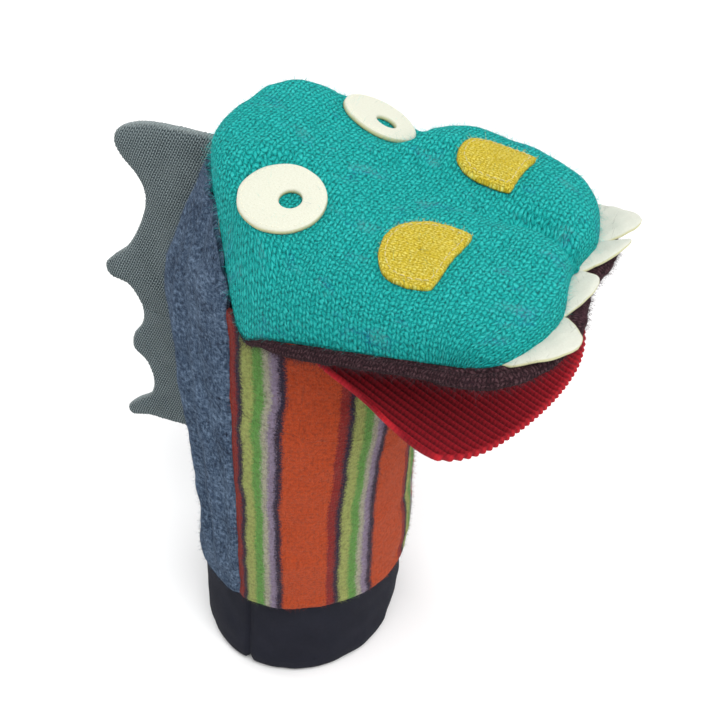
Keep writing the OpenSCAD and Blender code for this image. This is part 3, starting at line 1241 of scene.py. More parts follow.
@dataclass
class Cuff:
    """The dark jersey cuff, and the lining of the sleeve that it turns into."""

    finishes: Finishes
    section: tuple[tuple[float, float], ...] = (
        (-1.2, 7.0), (-2.2, 3.0), (-1.9, 0.9), (-0.6, 0.1), (0.6, 0.9), (1.2, 3.0), (1.4, 7.0),
    )
    top: float = 52.0
    lining_r: float = 47.5
    lining_top: float = 117.5

    def build(self) -> list[bpy.types.Object]:
        """Builds the cuff with its side seams, and the lining.

        Returns:
            The cuff and the lining.
        """
        a = np.linspace(-180, 180, 260, endpoint=False)[None, :]
        cuff = self.cuff(a)
        place_on(cuff, self.finishes.made[Slot.CUFF], Body.SLEEVE)
        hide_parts("cuff_front", "cuff_back")
        lining = self.lining(a)
        place_on(lining, self.finishes.inner[Slot.LINING], Body.SLEEVE)
        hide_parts("sleeve_lining")
        return [cuff, lining]

    def lifted(self, a: Array) -> Array:
        """How far the bottom edge is lifted off the table at the angle a."""
        return 5.0 * bell(a, 38, 42)

    def cuff(self, a: Array) -> bpy.types.Object:
        """The turned edge and the outside of the cuff.

        Args:
            a: Angles from the front, as one row.
        Returns:
            The object.
        """
        line = np.array([*self.section, *((1.2, z) for z in np.arange(10, self.top, 2))], float)
        rx = table([(0, 49.6), (12, 51.6), (30, 52.6), (52, 52.2)])
        ry = table([(0, 48.4), (12, 49.2), (30, 49.8), (52, 49.8)])
        d = line[:, :1] - 1.2
        z = np.broadcast_to(line[:, 1:], (len(line), a.size)).copy()
        wave = 0.55 * ripple(a * 1.0, z, 30, 21)
        seam = np.zeros_like(z)
        for at in (-90.0, 90.0):
            seam = seam + bell(a, at, 1.5)
        z = z + seam * 3.0 * ease((8 - z) / 8) + self.lifted(a) * ease((30 - z) / 30)
        flare = 4.6 * bell(a, -82, 50) * ease((34 - z) / 34)
        tuck = 1.3 * bell(a, 22, 40) * ease((34 - z) / 34)
        push = d + wave - 1.6 * seam + flare - tuck
        x = (rx(z) + push) * np.sin(np.radians(a))
        y = -(ry(z) + push) * np.cos(np.radians(a))
        cloth = np.stack([np.broadcast_to(a, z.shape) * 0.89, z], -1)
        return shell("cuff_skin", Patch(np.stack([x, y, z], -1), cloth, seam * 0.0), 0.9, ring=True)

    def lining(self, a: Array) -> bpy.types.Object:
        """The tube that the hand slides in, up to the twist of the sleeve.

        Args:
            a: Angles from the front, as one row.
        Returns:
            The object.
        """
        t = np.linspace(0, 1, 60)[:, None]
        hem = 4.0 + self.lifted(a)
        z = hem + (self.lining_top - hem) * t
        wide = self.lining_r + 0.35 * ripple(a * 1.0, z, 26, 25) * ease((z - 12) / 20)
        x, y = wide * np.sin(np.radians(a)), -wide * np.cos(np.radians(a))
        cloth = np.stack([a * 0.83 + 0 * z, z], -1)
        return shell("lining_skin", Patch(np.stack([x, y, z], -1), cloth, 0 * z), 1.0, ring=True)


# ---------------------------------------------------------------- crest


@dataclass
class Crest:
    """Two layers of jersey sewn round four soft points and turned out."""

    finishes: Finishes
    thick: float = 6.4
    outline: tuple[tuple[float, float], ...] = (
        (44, 264.5), (66, 263), (84, 260.5), (97, 255), (101, 247.5), (98, 240), (90, 231), (87, 222),
        (89, 210), (97, 192.5), (107, 182.5), (112, 176), (109, 170), (99, 167.5), (93.5, 157),
        (94, 146), (99.5, 137), (100, 128.5), (92, 122.5), (88.5, 113), (91.5, 102), (101, 94),
        (107.5, 86.5), (105, 81.5), (93, 85.5), (70, 89),
    )
    split: float = 157.0
    rim_points: int = 420

    def build(self) -> list[bpy.types.Object]:
        """Builds the lower and the upper stretch.

        Returns:
            Both pieces.
        """
        edge = spline(self.outline, self.rim_points, False)
        root_z = np.arange(92, 262, 6.0)
        root = np.stack([TUBE_C(root_z) + TUBE_Y(root_z) - 3.0, root_z], 1)
        loop = np.concatenate([edge, root])
        made = []
        for name, low, high, nodes, bend, seed in (
            ("crest_skin_lower", 60.0, self.split, ("crest_lower", "crest_middle"), TWIST, 5),
            ("crest_skin_upper", self.split, 290.0, ("crest_nape", "crest_upper"), NOD, 6),
        ):
            piece = self.cushion(name, loop, low, high)
            dress(piece, self.finishes.made[Slot.CREST])
            bend.apply(piece)
            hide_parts(*nodes)
            made.append(piece)
        return made

    def cushion(self, name: str, loop: Array, low: float, high: float) -> bpy.types.Object:
        """A flat padded piece inside the outline between two heights.

        Args:
            name: The piece's name.
            loop: The whole outline as (y, z).
            low: Lowest height kept.
            high: Highest height kept.
        Returns:
            The object.
        """
        bm = bmesh.new()
        corners = [bm.verts.new((0, y * 0.001, z * 0.001)) for y, z in loop]
        face = bm.faces.new(corners)
        out = bmesh.ops.extrude_face_region(bm, geom=[face])
        bmesh.ops.translate(
            bm, verts=[v for v in out["geom"] if isinstance(v, bmesh.types.BMVert)], vec=(0.005, 0, 0)
        )
        bmesh.ops.translate(bm, verts=bm.verts, vec=(-0.0025, 0, 0))
        bmesh.ops.recalc_face_normals(bm, faces=bm.faces)
        for height, normal in ((low, -1), (high, 1)):
            if 60 < height < 280:
                bmesh.ops.bisect_plane(
                    bm,
                    geom=[*bm.verts, *bm.edges, *bm.faces],
                    plane_co=(0, 0, height * 0.001),
                    plane_no=(0, 0, normal),
                    clear_outer=True,
                )
                bmesh.ops.holes_fill(bm, edges=[e for e in bm.edges if e.is_boundary])
        mesh = bpy.data.meshes.new(name + "_blank")
        bm.to_mesh(mesh)
        bm.free()
        blank = bpy.data.objects.new(name + "_blank", mesh)
        bpy.context.scene.collection.objects.link(blank)
        remesh = blank.modifiers.new("even", "REMESH")
        remesh.mode, remesh.voxel_size = "VOXEL", 0.001
        done = blank.evaluated_get(bpy.context.evaluated_depsgraph_get()).to_mesh()
        p = np.array([v.co[:] for v in done.vertices]) * 1000
        faces = [tuple(f.vertices) for f in done.polygons]
        blank.evaluated_get(bpy.context.evaluated_depsgraph_get()).to_mesh_clear()
        bpy.data.objects.remove(blank)
        rim = loop[:self.rim_points]
        away = np.min(np.linalg.norm(p[:, None, 1:] - rim[None, ::3], axis=2), axis=1)
        full = np.sqrt(1 - (1 - np.clip(away / 7.0, 0, 1)) ** 2)
        quilt = 1 + 0.10 * ripple(p[:, 1], p[:, 2], 26, 41)
        half = self.thick / 2 * (0.16 + 0.84 * full) * quilt
        bow = 1.6 * ripple(p[:, 1] * 0.6, p[:, 2], 70, 43) * ease((p[:, 1] - 62) / 40)
        p[:, 0] = p[:, 0] / 2.5 * half + bow
        # The edge value, 1 along the outline, carries the crest's painted edge highlight
        return make_mesh(name, p, faces, p[:, 1:] @ np.array([[0.9, 0.44], [0.44, -0.9]]), bell(away, 0, 1.5))


# ---------------------------------------------------------------- head


@dataclass(frozen=True)
class Seat:
    """The flat place that a stiff round of felt presses into the head.

    Args:
        x: Its centre across.
        y: Its centre along.
        z: Its centre's height.
        tilt: Outward lean in degrees.
        pitch: Forward lean in degrees.
    """

    x: float
    y: float
    z: float
    tilt: float
    pitch: float

    def height(self, x: Array, y: Array) -> Array:
        """Height of the place at (x, y).

        Args:
            x: Place across.
            y: Place along.
        Returns:
            The height.
        """
        t, p = math.radians(self.tilt), math.radians(self.pitch)
        up = math.cos(t) * math.cos(p)
        return self.z - (x - self.x) * math.sin(t) / up + (y - self.y) * math.sin(p) / up


# Where the right and the left eye are pressed into the head
EYE_SEATS = (Seat(-39.5, -13.0, 270.6, -15.0, 7.0), Seat(38.5, -14.5, 271.2, 14.0, 20.0))


@dataclass
class Head:
    """The teal top of the head, the nap on it, and what is sewn to it."""

    finishes: Finishes
    rim: tuple[tuple[float, float, float], ...] = (
        (0, 37.5, 264.5), (-17, 35, 264), (-29, 28, 261.5), (-38, 20, 254), (-43.5, 14, 243),
        (-47.5, 9.5, 231), (-50.5, 5.5, 219), (-53.5, 1, 210.5), (-59, -7, 211), (-64.5, -20, 219.5),
        (-67, -38, 226), (-68.5, -58, 231.5), (-69.5, -80, 237.5), (-70.5, -100, 243),
        (-70, -114, 246.5), (-66, -124, 249.3), (-57, -130.5, 251), (-43, -134, 252),
        (-28, -132.5, 251.6), (-13, -127.8, 250.4), (0, -124.5, 249.4), (8, -124.6, 249.4),
        (22, -125.5, 249.8), (36, -121.5, 248.8), (48.5, -115, 247.2), (58.5, -105, 244.4),
        (64.5, -93, 241), (67.5, -77, 236.8), (68.5, -58, 231.5), (67, -38, 226), (64.5, -20, 219.5),
        (59, -7, 211), (53.5, 1, 210.5), (50.5, 5.5, 219), (47.5, 9.5, 231), (43.5, 14, 243),
        (38, 20, 254), (29, 28, 261.5), (17, 35, 264),
    )
    top: Callable = field(default_factory=lambda: table([
        (-110, 265.5), (-75, 268.5), (-50, 270.5), (-30, 273.5), (-15, 277), (-4, 281), (8, 284), (22, 284),
    ]))
    power: Callable = field(default_factory=lambda: table([
        (-134, 0.62), (-118, 0.52), (-100, 0.44), (-60, 0.45), (-35, 0.6), (-15, 0.68), (2, 0.58), (15, 0.45),
        (40, 0.42),
    ]))
    cols: int = 330
    rows: int = 84

    def __post_init__(self) -> None:
        """Lays out the surface."""
        self.patch = self.surface()

    def surface(self) -> Patch:
        """The outside of the head from its rim up to the ridge.

        Returns:
            The patch.
        """
        rim = spline(self.rim, self.cols, True)
        rim = np.concatenate([rim, rim[:1]])
        beta = np.linspace(0, 1, self.rows)[:, None] ** 1.15 * (math.pi / 2)
        spine_y = np.clip(rim[:, 1] * 0.82 - 2, -96, 12)
        spine_y = np.convolve(
            np.concatenate([spine_y[-9:-1], spine_y, spine_y[1:9]]), np.ones(17) / 17, "valid"
        )
        power = self.power(rim[:, 1]) + 0.24 * (rim[:, 0] < 0) * bell(rim[:, 1], -76, 26)
        high = self.top(spine_y)
        share = np.abs(np.cos(beta)) ** power
        lift = np.abs(np.sin(beta)) ** power
        x = rim[:, 0] * share
        y = spine_y + (rim[:, 1] - spine_y) * share
        z = rim[:, 2] + (high - rim[:, 2]) * lift
        p = np.stack([x, y, z], -1)
        p = self.shape(p, beta)
        along = -y + np.maximum(0, 262 - z) * ease((-y - 95) / 25)
        down = np.maximum(0, np.minimum(self.top(np.clip(y, -100, 20)), 290) - z)
        across = x + np.sign(x) * down * 0.8 * ease(np.abs(x) / 25)
        edge = bell(beta, 0, 0.035) + 0 * x
        return Patch(p, np.stack([along, across], -1), edge)

    def shape(self, p: Array, beta: Array) -> Array:
        """Adds the crease of the snout, the hollow between the eyes and the unevenness of stuffed cloth.

        Args:
            p: Points of the surface.
            beta: Angle of each row up the side of the head.
        Returns:
            The shaped points.
        """
        x, y, z = p[..., 0], p[..., 1], p[..., 2]
        inside = ease(np.broadcast_to(beta, x.shape) / 0.5)
        line = 4 + 5.0 * bell(y, -104, 16) + 0.05 * (y + 70)
        strong = ease((-66 - y) / 22)
        off = x - line
        groove = -6.0 * strong * bell(off, 0, 4.2)
        lobe = 2.6 * strong * bell(off, -15, 11) + 1.0 * strong * bell(off, 16, 12)
        pinch = -2.2 * ease((-48 - y) / 25) * bell(off, 0, 14)
        brow = -2.2 * bell(y, -46, 15) * bell(x, 0, 60)
        uneven = 0.9 * ripple(x, y, 48, 51) + 0.25 * ripple(x, y, 15, 52)
        z = z + (groove + lobe + pinch + brow + uneven) * inside
        swell = 0.8 * ripple(y, z, 40, 53) * np.sin(np.broadcast_to(beta, x.shape) * 2)
        far = ease((x - 8) / 30) * np.sin(np.broadcast_to(beta, x.shape)) ** 1.4
        z = z - 4.0 * far * bell(y, -16, 15) + 7.5 * far * bell(y, -50, 17) + 3.0 * far * bell(y, -90, 17)
        puff = 3.0 * bell(y, -66, 30) + 7.5 * ease(x / 22) * bell(y, 22, 22)
        puff = puff * np.sin(np.broadcast_to(beta, x.shape) * 2) ** 1.5
        y = y + puff * 0.7 * ease((y - 2) / 15) * ease(x / 22)
        x = x + np.sign(x) * (swell + puff) * ease(np.abs(x) / 20)
        for seat in EYE_SEATS:
            share = 1 - ease((np.hypot(x - seat.x, y - seat.y) - 16.5) / 8.5)
            z = z + share * inside * (seat.height(x, y) - z)
        return np.stack([x, y, z], -1)

    def build(self) -> list[bpy.types.Object]:
        """Builds the skin and its nap.

        Returns:
            The skin and the nap.
        """
        skin = shell("head_skin", self.patch, 2.9, round_edge=0.5, crisp=True)
        place_on(skin, self.finishes.made[Slot.HEAD], Body.HEAD)
        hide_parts("head_top")
        nap = fuzz("head_nap", self.patch, 12000, 2.7, 0.04, 61)
        place_on(nap, self.finishes.made[Slot.HEAD], Body.HEAD)
        index = np.arange(self.patch.edge.size).reshape(self.patch.edge.shape)
        self.tree = BVHTree.FromPolygons(
            [Vector(q) for q in self.patch.points.reshape(-1, 3)], cells(index).tolist()
        )
        self.pad("crown_stuffing_pad", (-70, 22), 7.0, "crown_stuffing")
        self.pad("snout_stuffing_pad", (-118, -96), 2.6, "snout_stuffing")
        return [skin, nap]

    def pad(self, name: str, reach: tuple[float, float], thick: float, node: str) -> None:
        """Loose fibre that lies under the skin and shapes it.

        Args:
            name: The piece's name.
            reach: Depths between which it lies.
            thick: Its thickness.
            node: The CAD node that it stands for.
        """
        x = np.linspace(-42, 42, 60)[None, :] + np.zeros((60, 1))
        y = np.linspace(*reach, 60)[:, None] + np.zeros((1, 60))
        z = np.array([[self.ground(float(a), float(b))[0][2] for a, b in zip(r, c)] for r, c in zip(x, y)])
        patch = Patch(np.stack([x, y, z - 3.6], -1), np.stack([x, y], -1), 0 * x)
        piece = shell(name, patch, thick)
        place_on(piece, self.finishes.inner[Slot.FILL], Body.HEAD)
        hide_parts(node)

    def ground(self, x: float, y: float) -> tuple[Array, Array]:
        """The point and normal of the head under (x, y).

        Args:
            x: Place across.
            y: Place along.
        Returns:
            The point and the unit normal.
        """
        spot, normal, _, _ = self.tree.ray_cast(Vector((x, y, 400)), Vector((0, 0, -1)))
        if spot is None:
            return np.array([x, y, 240.0]), np.array([0, 0, 1.0])
        n = np.array(normal)
        return np.array(spot), n if n[2] > 0 else -n


@dataclass(frozen=True)
class FacePatch:
    """A flat patch of felt laid on the head.

    Args:
        name: The piece's name.
        centre: Where it lies, as (x, y).
        tilt: Outward lean of the patch in degrees.
        pitch: Forward lean in degrees.
        turn: Turn of the patch in its own plane in degrees.
        thick: Thickness.
        cling: How closely it follows the head, from 0 to 1.
        lift: Height of its underside over the head at its centre.
    """

    name: str
    centre: tuple[float, float]
    tilt: float
    pitch: float
    turn: float
    thick: float
    cling: float
    lift: float

    def frame(self, head: Head) -> tuple[Array, Array]:
        """The patch's origin and its three directions as rows.

        Args:
            head: The head that it lies on.
        Returns:
            The origin and the directions.
        """
        origin, _ = head.ground(*self.centre)
        t, p, r = (math.radians(v) for v in (self.tilt, self.pitch, self.turn))
        normal = unit(np.array([math.sin(t), -math.sin(p), math.cos(t) * math.cos(p)]))
        across = unit(np.cross(np.array([0, 1.0, 0]), normal))
        along = np.cross(normal, across)
        c, s = math.cos(r), math.sin(r)
        return origin + normal * self.lift, np.stack([across * c + along * s, along * c - across * s, normal])

    def lay(self, flat: Array, height: Array, head: Head) -> Array:
        """Points of the patch on the head.

        Args:
            flat: Points in the patch's plane.
            height: Height of each over the underside.
            head: The head that it lies on.
        Returns:
            Points in the puppet's frame.
        """
        origin, axes = self.frame(head)
        p = origin + flat[..., :1] * axes[0] + flat[..., 1:] * axes[1]
        out = p.copy()
        rows = p.reshape(-1, 3)
        for k, q in enumerate(rows):
            g, _ = head.ground(q[0], q[1])
            drop = (g[2] - q[2]) + self.lift
            out.reshape(-1, 3)[k, 2] += drop * self.cling
        return out + np.asarray(height)[..., None] * axes[2]


def felt_shape(name: str, spec: FacePatch, rings: Array, head: Head, dome: float) -> bpy.types.Object:
    """A piece of felt between an inner and an outer outline.

    Args:
        name: The piece's name.
        spec: Where and how it lies.
        rings: Outlines from the inner one to the outer one, rings by points by two.
        head: The head under it.
        dome: Extra height in its middle.
    Returns:
        The object.
    """
    count = len(rings)
    t = np.linspace(0, 1, count)[:, None]
    round_ = np.sqrt(np.clip(1 - (2 * np.clip(t, 0, 1) - 1) ** 8, 0, 1))
    high = spec.thick * (0.35 + 0.65 * round_) + dome * np.sin(math.pi * np.clip(t, 0, 1)) + 0 * rings[..., 0]
    top = spec.lay(rings, high, head)
    low = spec.lay(rings, 0 * high, head)
    near = np.minimum(t, 1 - t) * np.linalg.norm(rings[-1] - rings[0], axis=-1)[None, :]
    edge = bell(near, 0, 0.9)
    loops = np.concatenate([top, low[::-1]])
    both = np.concatenate([rings, rings[::-1]])
    edges = np.concatenate([edge, np.ones_like(edge)])
    rows, cols = edges.shape
    index = np.arange(rows * cols).reshape(rows, cols)
    wide = np.concatenate([index, index[:, :1]], 1)
    wide = np.concatenate([wide, wide[:1]])
    faces = [tuple(q) for q in cells(wide)[:, ::-1]]
    return make_mesh(name, loops.reshape(-1, 3), faces, both.reshape(-1, 2), edges.ravel())


@dataclass
class Face:
    """Eyes, nostrils and their stitches."""

    finishes: Finishes
    head: Head
    made: list[bpy.types.Object] = field(default_factory=list)

    def build(self) -> list[bpy.types.Object]:
        """Builds both eyes and both nostrils.

        Returns:
            The pieces made.
        """
        for side, name in ((-1, "right"), (1, "left")):
            self.eye(side, name)
            self.nostril(side, name)
        return self.made

    def keep(self, piece: bpy.types.Object, material: bpy.types.Material, slot: Slot | None) -> None:
        """Dresses a piece that rides the head."""
        place_on(piece, material, Body.HEAD)
        self.made.append(piece)

    def stitches(
        self,
        name: str,
        spec: FacePatch,
        line: Array,
        step: float,
        long: float,
        height: float,
        material: bpy.types.Material,
        seed: int,
    ) -> None:
        """Short stitches of thread along a line on a patch.

        Args:
            name: The piece's name.
            spec: The patch that they are sewn on.
            line: The line of the stitches in its plane.
            step: Distance from one stitch to the next.
            long: Length of a stitch.
            height: Height over the patch's underside.
            material: The thread.
            seed: Number of the pattern.
        """
        rng = np.random.default_rng(seed)
        run = run_along(line)
        starts = np.arange(0.5, run[-1] - long, step)
        points, faces = [], []
        for s in starts:
            ends = [
                np.array([np.interp(v, run, line[:, 0]), np.interp(v, run, line[:, 1])])
                for v in (s, s + long * rng.uniform(0.8, 1.15))
            ]
            ends[1] = ends[1] + rng.normal(0, 0.12, 2)
            path = np.array([ends[0] * (1 - t) + ends[1] * t for t in (0, 0.25, 0.5, 0.75, 1)])
            rise = height + np.array([-0.35, 0.12, 0.2, 0.12, -0.35])
            spine = spec.lay(path, rise, self.head)
            way = unit(spine[-1] - spine[0])
            side = unit(np.cross(way, [0.1, 0.2, 1.0]))
            up = np.cross(side, way)
            base = len(points)
            for c in spine:
                for k in range(6):
                    a = 2 * math.pi * k / 6
                    points.append(c + 0.22 * (side * math.cos(a) + up * math.sin(a)))
            for i in range(4):
                for k in range(6):
                    n = (k + 1) % 6
                    faces.append(
                        (base + i * 6 + k, base + i * 6 + n, base + (i + 1) * 6 + n, base + (i + 1) * 6 + k)
                    )
            faces.append(tuple(base + k for k in range(5, -1, -1)))
            faces.append(tuple(base + 24 + k for k in range(6)))
        p = np.array(points)
        self.keep(make_mesh(name, p, faces, p[:, :2], np.zeros(len(p))), material, None)

    def eye(self, side: int, name: str) -> None:
        """One ring of cream felt with its hole toward the snout.

        Args:
            side: -1 for the puppet's right, 1 for its left.
            name: Name of that side.
        """
        seat = EYE_SEATS[0] if side < 0 else EYE_SEATS[1]
        spec = FacePatch(f"eye_{name}_ring", (seat.x, seat.y), seat.tilt, seat.pitch, 0.0, 1.9, 0.0, 0.35)
        a = np.linspace(0, 2 * np.pi, 96, endpoint=False)
        wobble = 0.25 * ripple(np.cos(a) * 20, np.sin(a) * 20, 22, 71 + side)
        radius = 18.2 + wobble if side < 0 else 17.4 + wobble
        outer = np.stack([radius * np.cos(a), radius * np.sin(a)], 1)
        inner = np.stack([4.9 * np.cos(a) - side * 0.6, 4.7 * np.sin(a) - 3.6], 1)
        t = (1 - np.cos(np.linspace(0, np.pi, 16)))[:, None, None] / 2
        ring = felt_shape(spec.name, spec, inner * (1 - t) + outer * t, self.head, 0.5)
        self.keep(ring, self.finishes.made[Slot.EYE], Slot.EYE)
        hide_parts(f"eye_{name}")
        line = spline(outer * 0.90, 260, True)
        self.stitches(
            f"eye_{name}_stitches", spec, line, 2.3, 1.1, 2.15, self.finishes.thread["cream"], 81 + side
        )

    def nostril(self, side: int, name: str) -> None:
        """One mustard patch, straight in front and round behind.

        Args:
            side: -1 for the puppet's right, 1 for its left.
            name: Name of that side.
        """
        centre, wide = ((-40.0, -75.5), 1.18) if side < 0 else ((31.0, -73.6), 0.98)
        spec = FacePatch(f"nostril_{name}_patch", centre, side * 12.0, 8.0, 0.0, 2.1, 0.9, 0.2)
        half = [
            (15.2, -12.6), (15.9, -4), (14.6, 5.5), (10.2, 12.6), (3.2, 15.8), (-4.4, 15.0), (-11.0, 10.6),
            (-14.6, 4.2), (-15.4, -4), (-14.8, -11.4), (-12.8, -13.6), (0, -13.6), (12.6, -14.2),
        ]
        outline = spline([(p[0] * -side * wide, p[1]) for p in half], 110, True)
        outline = outline * (1 + 0.012 * ripple(outline[:, :1], outline[:, 1:], 6, 91 + side))
        t = (1 - np.cos(np.linspace(0, np.pi, 18)))[:, None, None] / 2
        middle = outline * 0.03
        piece = felt_shape(spec.name, spec, middle * (1 - t) + outline * t, self.head, 0.6)
        self.keep(piece, self.finishes.made[Slot.NOSTRIL], Slot.NOSTRIL)
        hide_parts(f"nostril_{name}")
        self.stitches(
            f"nostril_{name}_stitches",
            spec,
            np.concatenate([outline, outline[:1]]) * 0.84,
            3.4,
            2.3,
            2.75,
            self.finishes.thread["straw"],
            95 + side,
        )
        flat = outline[None] * np.linspace(0.05, 1.02, 12)[:, None, None]
        top = spec.lay(flat, np.full(flat.shape[:2], 2.0), self.head)
        patch = Patch(top[::-1], flat[::-1], np.zeros(flat.shape[:2]))
        if patch.normals()[5, :, 2].mean() < 0:
            patch = Patch(top, flat, np.zeros(flat.shape[:2]))
        nap = fuzz(f"nostril_{name}_nap", patch, 900, 1.5, 0.05, 97 + side)
        self.keep(nap, self.finishes.made[Slot.NOSTRIL], Slot.NOSTRIL)


# ---------------------------------------------------------------- mouth


@dataclass
class Mouth:
    """The plum roof of the mouth with its rolled lip, and the teeth on it."""

    finishes: Finishes
    head: Head
    out: float = 1.6
    made: list[bpy.types.Object] = field(default_factory=list)

    def outline(self, count: int) -> Array:
        """The lip in the roof plane as (x, s), from the right end of the fold round to the left.

        Args:
            count: Number of points.
        Returns:
            The points, rows of (x, s).
        """
        rim = np.array([p for p in self.head.rim if p[1] < -25], float)
        angle = math.radians(ROOF_RISE)
        s = (FOLD[0] - rim[:, 1]) * math.cos(angle) + (rim[:, 2] - FOLD[1]) * math.sin(angle)
        flat = np.stack([rim[:, 0], s], 1)
        flat = np.concatenate([[(-58, -2)], flat, [(58, -2)]])
        line = spline(flat, count, False)
        way = unit(np.gradient(line, axis=0))
        normal = np.stack([-way[:, 1], way[:, 0]], 1)
        swell = self.out * ease(line[:, 1] / 30) + 1.0 * ease((line[:, 1] - 55) / 35)
        return line + normal * swell[:, None]

    def build(self) -> list[bpy.types.Object]:
        """Builds the palate and the teeth.

        Returns:
            The pieces made.
        """
        self.palate()
        self.lip()
        self.teeth()
        return self.made

    def keep(self, piece: bpy.types.Object, slot: Slot) -> None:
        """Dresses a piece that rides the head."""
        place_on(piece, self.finishes.made[slot], Body.HEAD)
        self.made.append(piece)

    def palate(self) -> None:
        """The roof of the mouth, a pad with a rolled edge all round its front."""
        edge = self.outline(320)
        centre = np.stack([0 * edge[:, 0], np.clip(edge[:, 1], 0, 60) * 0.9], 1)
        roll = 2.9
        steps = [(t, 3.4, 0.0) for t in np.linspace(0.0, 0.94, 14)]
        steps += [(1.0, roll * math.sin(a), roll * math.cos(a)) for a in np.linspace(1.15, -1.3, 9)]
        steps += [(t, 0.55, 0.0) for t in np.linspace(0.90, 0.0, 14)]
        way = unit(edge - centre)
        rows, cloth = [], []
        for share, up, out in steps:
            flat = centre + (edge - centre) * share + way * (out - roll) * (share >= 1.0)
            high = up + (0.7 if share >= 1.0 else 0.0) + 0 * flat[:, 0]
            if share < 1.0:
                high = high + (0.5 * ripple(flat[:, 0], flat[:, 1], 30, 101) if up < 1 else 0)
                high = np.maximum(high, 0.3)
            else:
                high = high + 0.35 * ripple(flat[:, 0], flat[:, 1], 14, 102)
            rows.append(tilt_point(flat[:, 0], flat[:, 1], high, ROOF_RISE))
            cloth.append(flat)
        grid = np.stack(rows)
        flat = np.stack(cloth)
        loops = np.swapaxes(grid, 0, 1)
        piece = solid_loft(
            "palate_skin", loops[::-1], np.swapaxes(flat, 0, 1)[::-1], np.zeros(loops.shape[:2])
        )
        self.keep(piece, Slot.MOUTH)
        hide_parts("palate")

    def lip(self) -> None:
        """The rolled lip that follows the rim of the head from one side seam round to the other."""
        rim = np.array([p for p in self.head.rim if p[1] < 3], float)
        line = spline(rim, 420, False)
        way = unit(np.gradient(line[:, :2], axis=0))
        out = np.stack([way[:, 1], -way[:, 0], 0 * way[:, 0]], 1)
        if np.sum(out[:, 0] * line[:, 0]) < 0:
            out = -out
        full = ease((-line[:, 1] - 2) / 40)
        front = ease((-line[:, 1] - 92) / 25)
        push = -1.6 + 3.4 * full + 3.0 * front
        centre = line + out * push[:, None]
        centre[:, 2] -= 1.2 + 2.0 * full - 0.4 * front
        wide = (1.9 + 1.5 * full + 0.4 * front)[:, None]
        tall = (1.6 + 1.0 * full)[:, None]
        up = np.array([[0.0, 0.0, 1.0]])
        a = np.linspace(0, 2 * np.pi, 20, endpoint=False)
        loops = np.stack([centre + out * wide * math.cos(t) + up * tall * math.sin(t) for t in a], 1)
        run = run_along(centre)
        bump = 0.4 * ripple(run[:, None], a[None, :] * 4, 16, 105)
        spread = loops - centre[:, None]
        loops = centre[:, None] + spread * (1 + bump[..., None] / 3)
        flat = np.stack(
            [np.broadcast_to(run[:, None], bump.shape), np.broadcast_to(a[None, :] * 3, bump.shape)], -1
        )
        piece = solid_loft("lip_roll", loops, flat, np.zeros(bump.shape))
        self.keep(piece, Slot.MOUTH)
        half = [*range(15, 20), *range(0, 6)]
        patch = Patch(loops[:, half], flat[:, half], np.zeros((len(loops), len(half))))
        if np.sum(patch.normals()[:, 5, :2] * out[:, :2]) < 0:
            patch = Patch(loops[:, half[::-1]], flat[:, half[::-1]], np.zeros((len(loops), len(half))))
        self.keep(fuzz("lip_nap", patch, 6500, 3.0, 0.045, 106, 0.9), Slot.MOUTH)

    def teeth(self) -> None:
        """Four wide teeth of doubled felt that stand on the lip."""
        plans = (
            ("tooth_outer_right", (-66.0, -125.5), (-29.0, -132.5), (-49.5, -146.5), 0.0, 1),
            ("tooth_inner_right", (-30.0, -132.0), (8.0, -123.5), (-2.5, -136.5), 0.5, 2),
            ("tooth_inner_left", (5.5, -124.0), (32.0, -121.5), (31.5, -137.0), 1.0, 3),
            ("tooth_outer_left", (27.0, -122.5), (64.0, -106.5), (51.0, -134.5), 1.0, 4),
        )
        for name, a, b, tip, droop, seed in plans:
            self.tooth(name, np.array(a), np.array(b), np.array(tip), droop, seed)

    def tooth(self, name: str, a: Array, b: Array, tip: Array, droop: float, seed: int) -> None:
        """One tooth from two ends of its base and its tip, as (x, y) seen from above.

        Args:
            name: The piece's name.
            a: Right end of its base.
            b: Left end of its base.
            tip: Its tip.
            droop: How far the tip rises off the lip.
            seed: Number of the pattern.
        """
        rows, cols = 34, 40
        t = np.linspace(0, 1, rows)[:, None]
        s = np.linspace(-1, 1, cols)[None, :]
        middle = (a + b) / 2
        back = unit(middle - tip) * 6.5
        half = (b - a) / 2
        reach = np.linalg.norm(half)
        along = half / reach
        far = np.clip((t - 0.30) / 0.70, 0, 1)
        blunt = np.sqrt(np.clip(1 - np.clip((far - 0.72) / 0.28, 0, 1) ** 2, 0, 1))
        w = np.maximum((reach - 4.6) * (1 - far) ** 0.95 + 4.6 * blunt, 0.05)
        start, swing = middle + back, tip - middle
        swing = swing - along * (swing @ along)
        path = start * (1 - t) ** 2 + (middle + swing * 0.5) * 2 * t * (1 - t) + tip * t * t
        flat = path[:, None, :] + (w * s)[..., None] * along
        plane = FOLD[1] + (FOLD[0] - flat[..., 1]) * math.tan(math.radians(ROOF_RISE))
        curve = droop * t**2 + 1.0 * (1 - s**2) * (1 - t) ** 0.5
        mid = plane + 3.6 + curve + 0.3 * ripple(flat[..., 0], flat[..., 1], 12, 111 + seed)
        round_side = np.sqrt(np.clip(1 - s**2 * 0.97, 0.03, 1))
        round_tip = np.sqrt(np.clip(1 - (t * 0.98) ** 6, 0.03, 1))
        fat = 1.5 * round_side * round_tip + 0 * mid
        top = np.concatenate([flat, (mid + fat)[..., None]], -1)
        low = np.concatenate([flat, (mid - fat)[..., None]], -1)
        loops = np.concatenate([top, low[:, ::-1]], 1)
        local = np.concatenate([flat, flat[:, ::-1]], 1)
        near = bell((1 - np.abs(s)) * w, 0, 0.9) + 0 * mid
        edge = np.concatenate([near, near[:, ::-1]], 1)
        piece = solid_loft(name + "_felt", loops, local, edge)
        self.keep(piece, Slot.TOOTH)
        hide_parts(name)


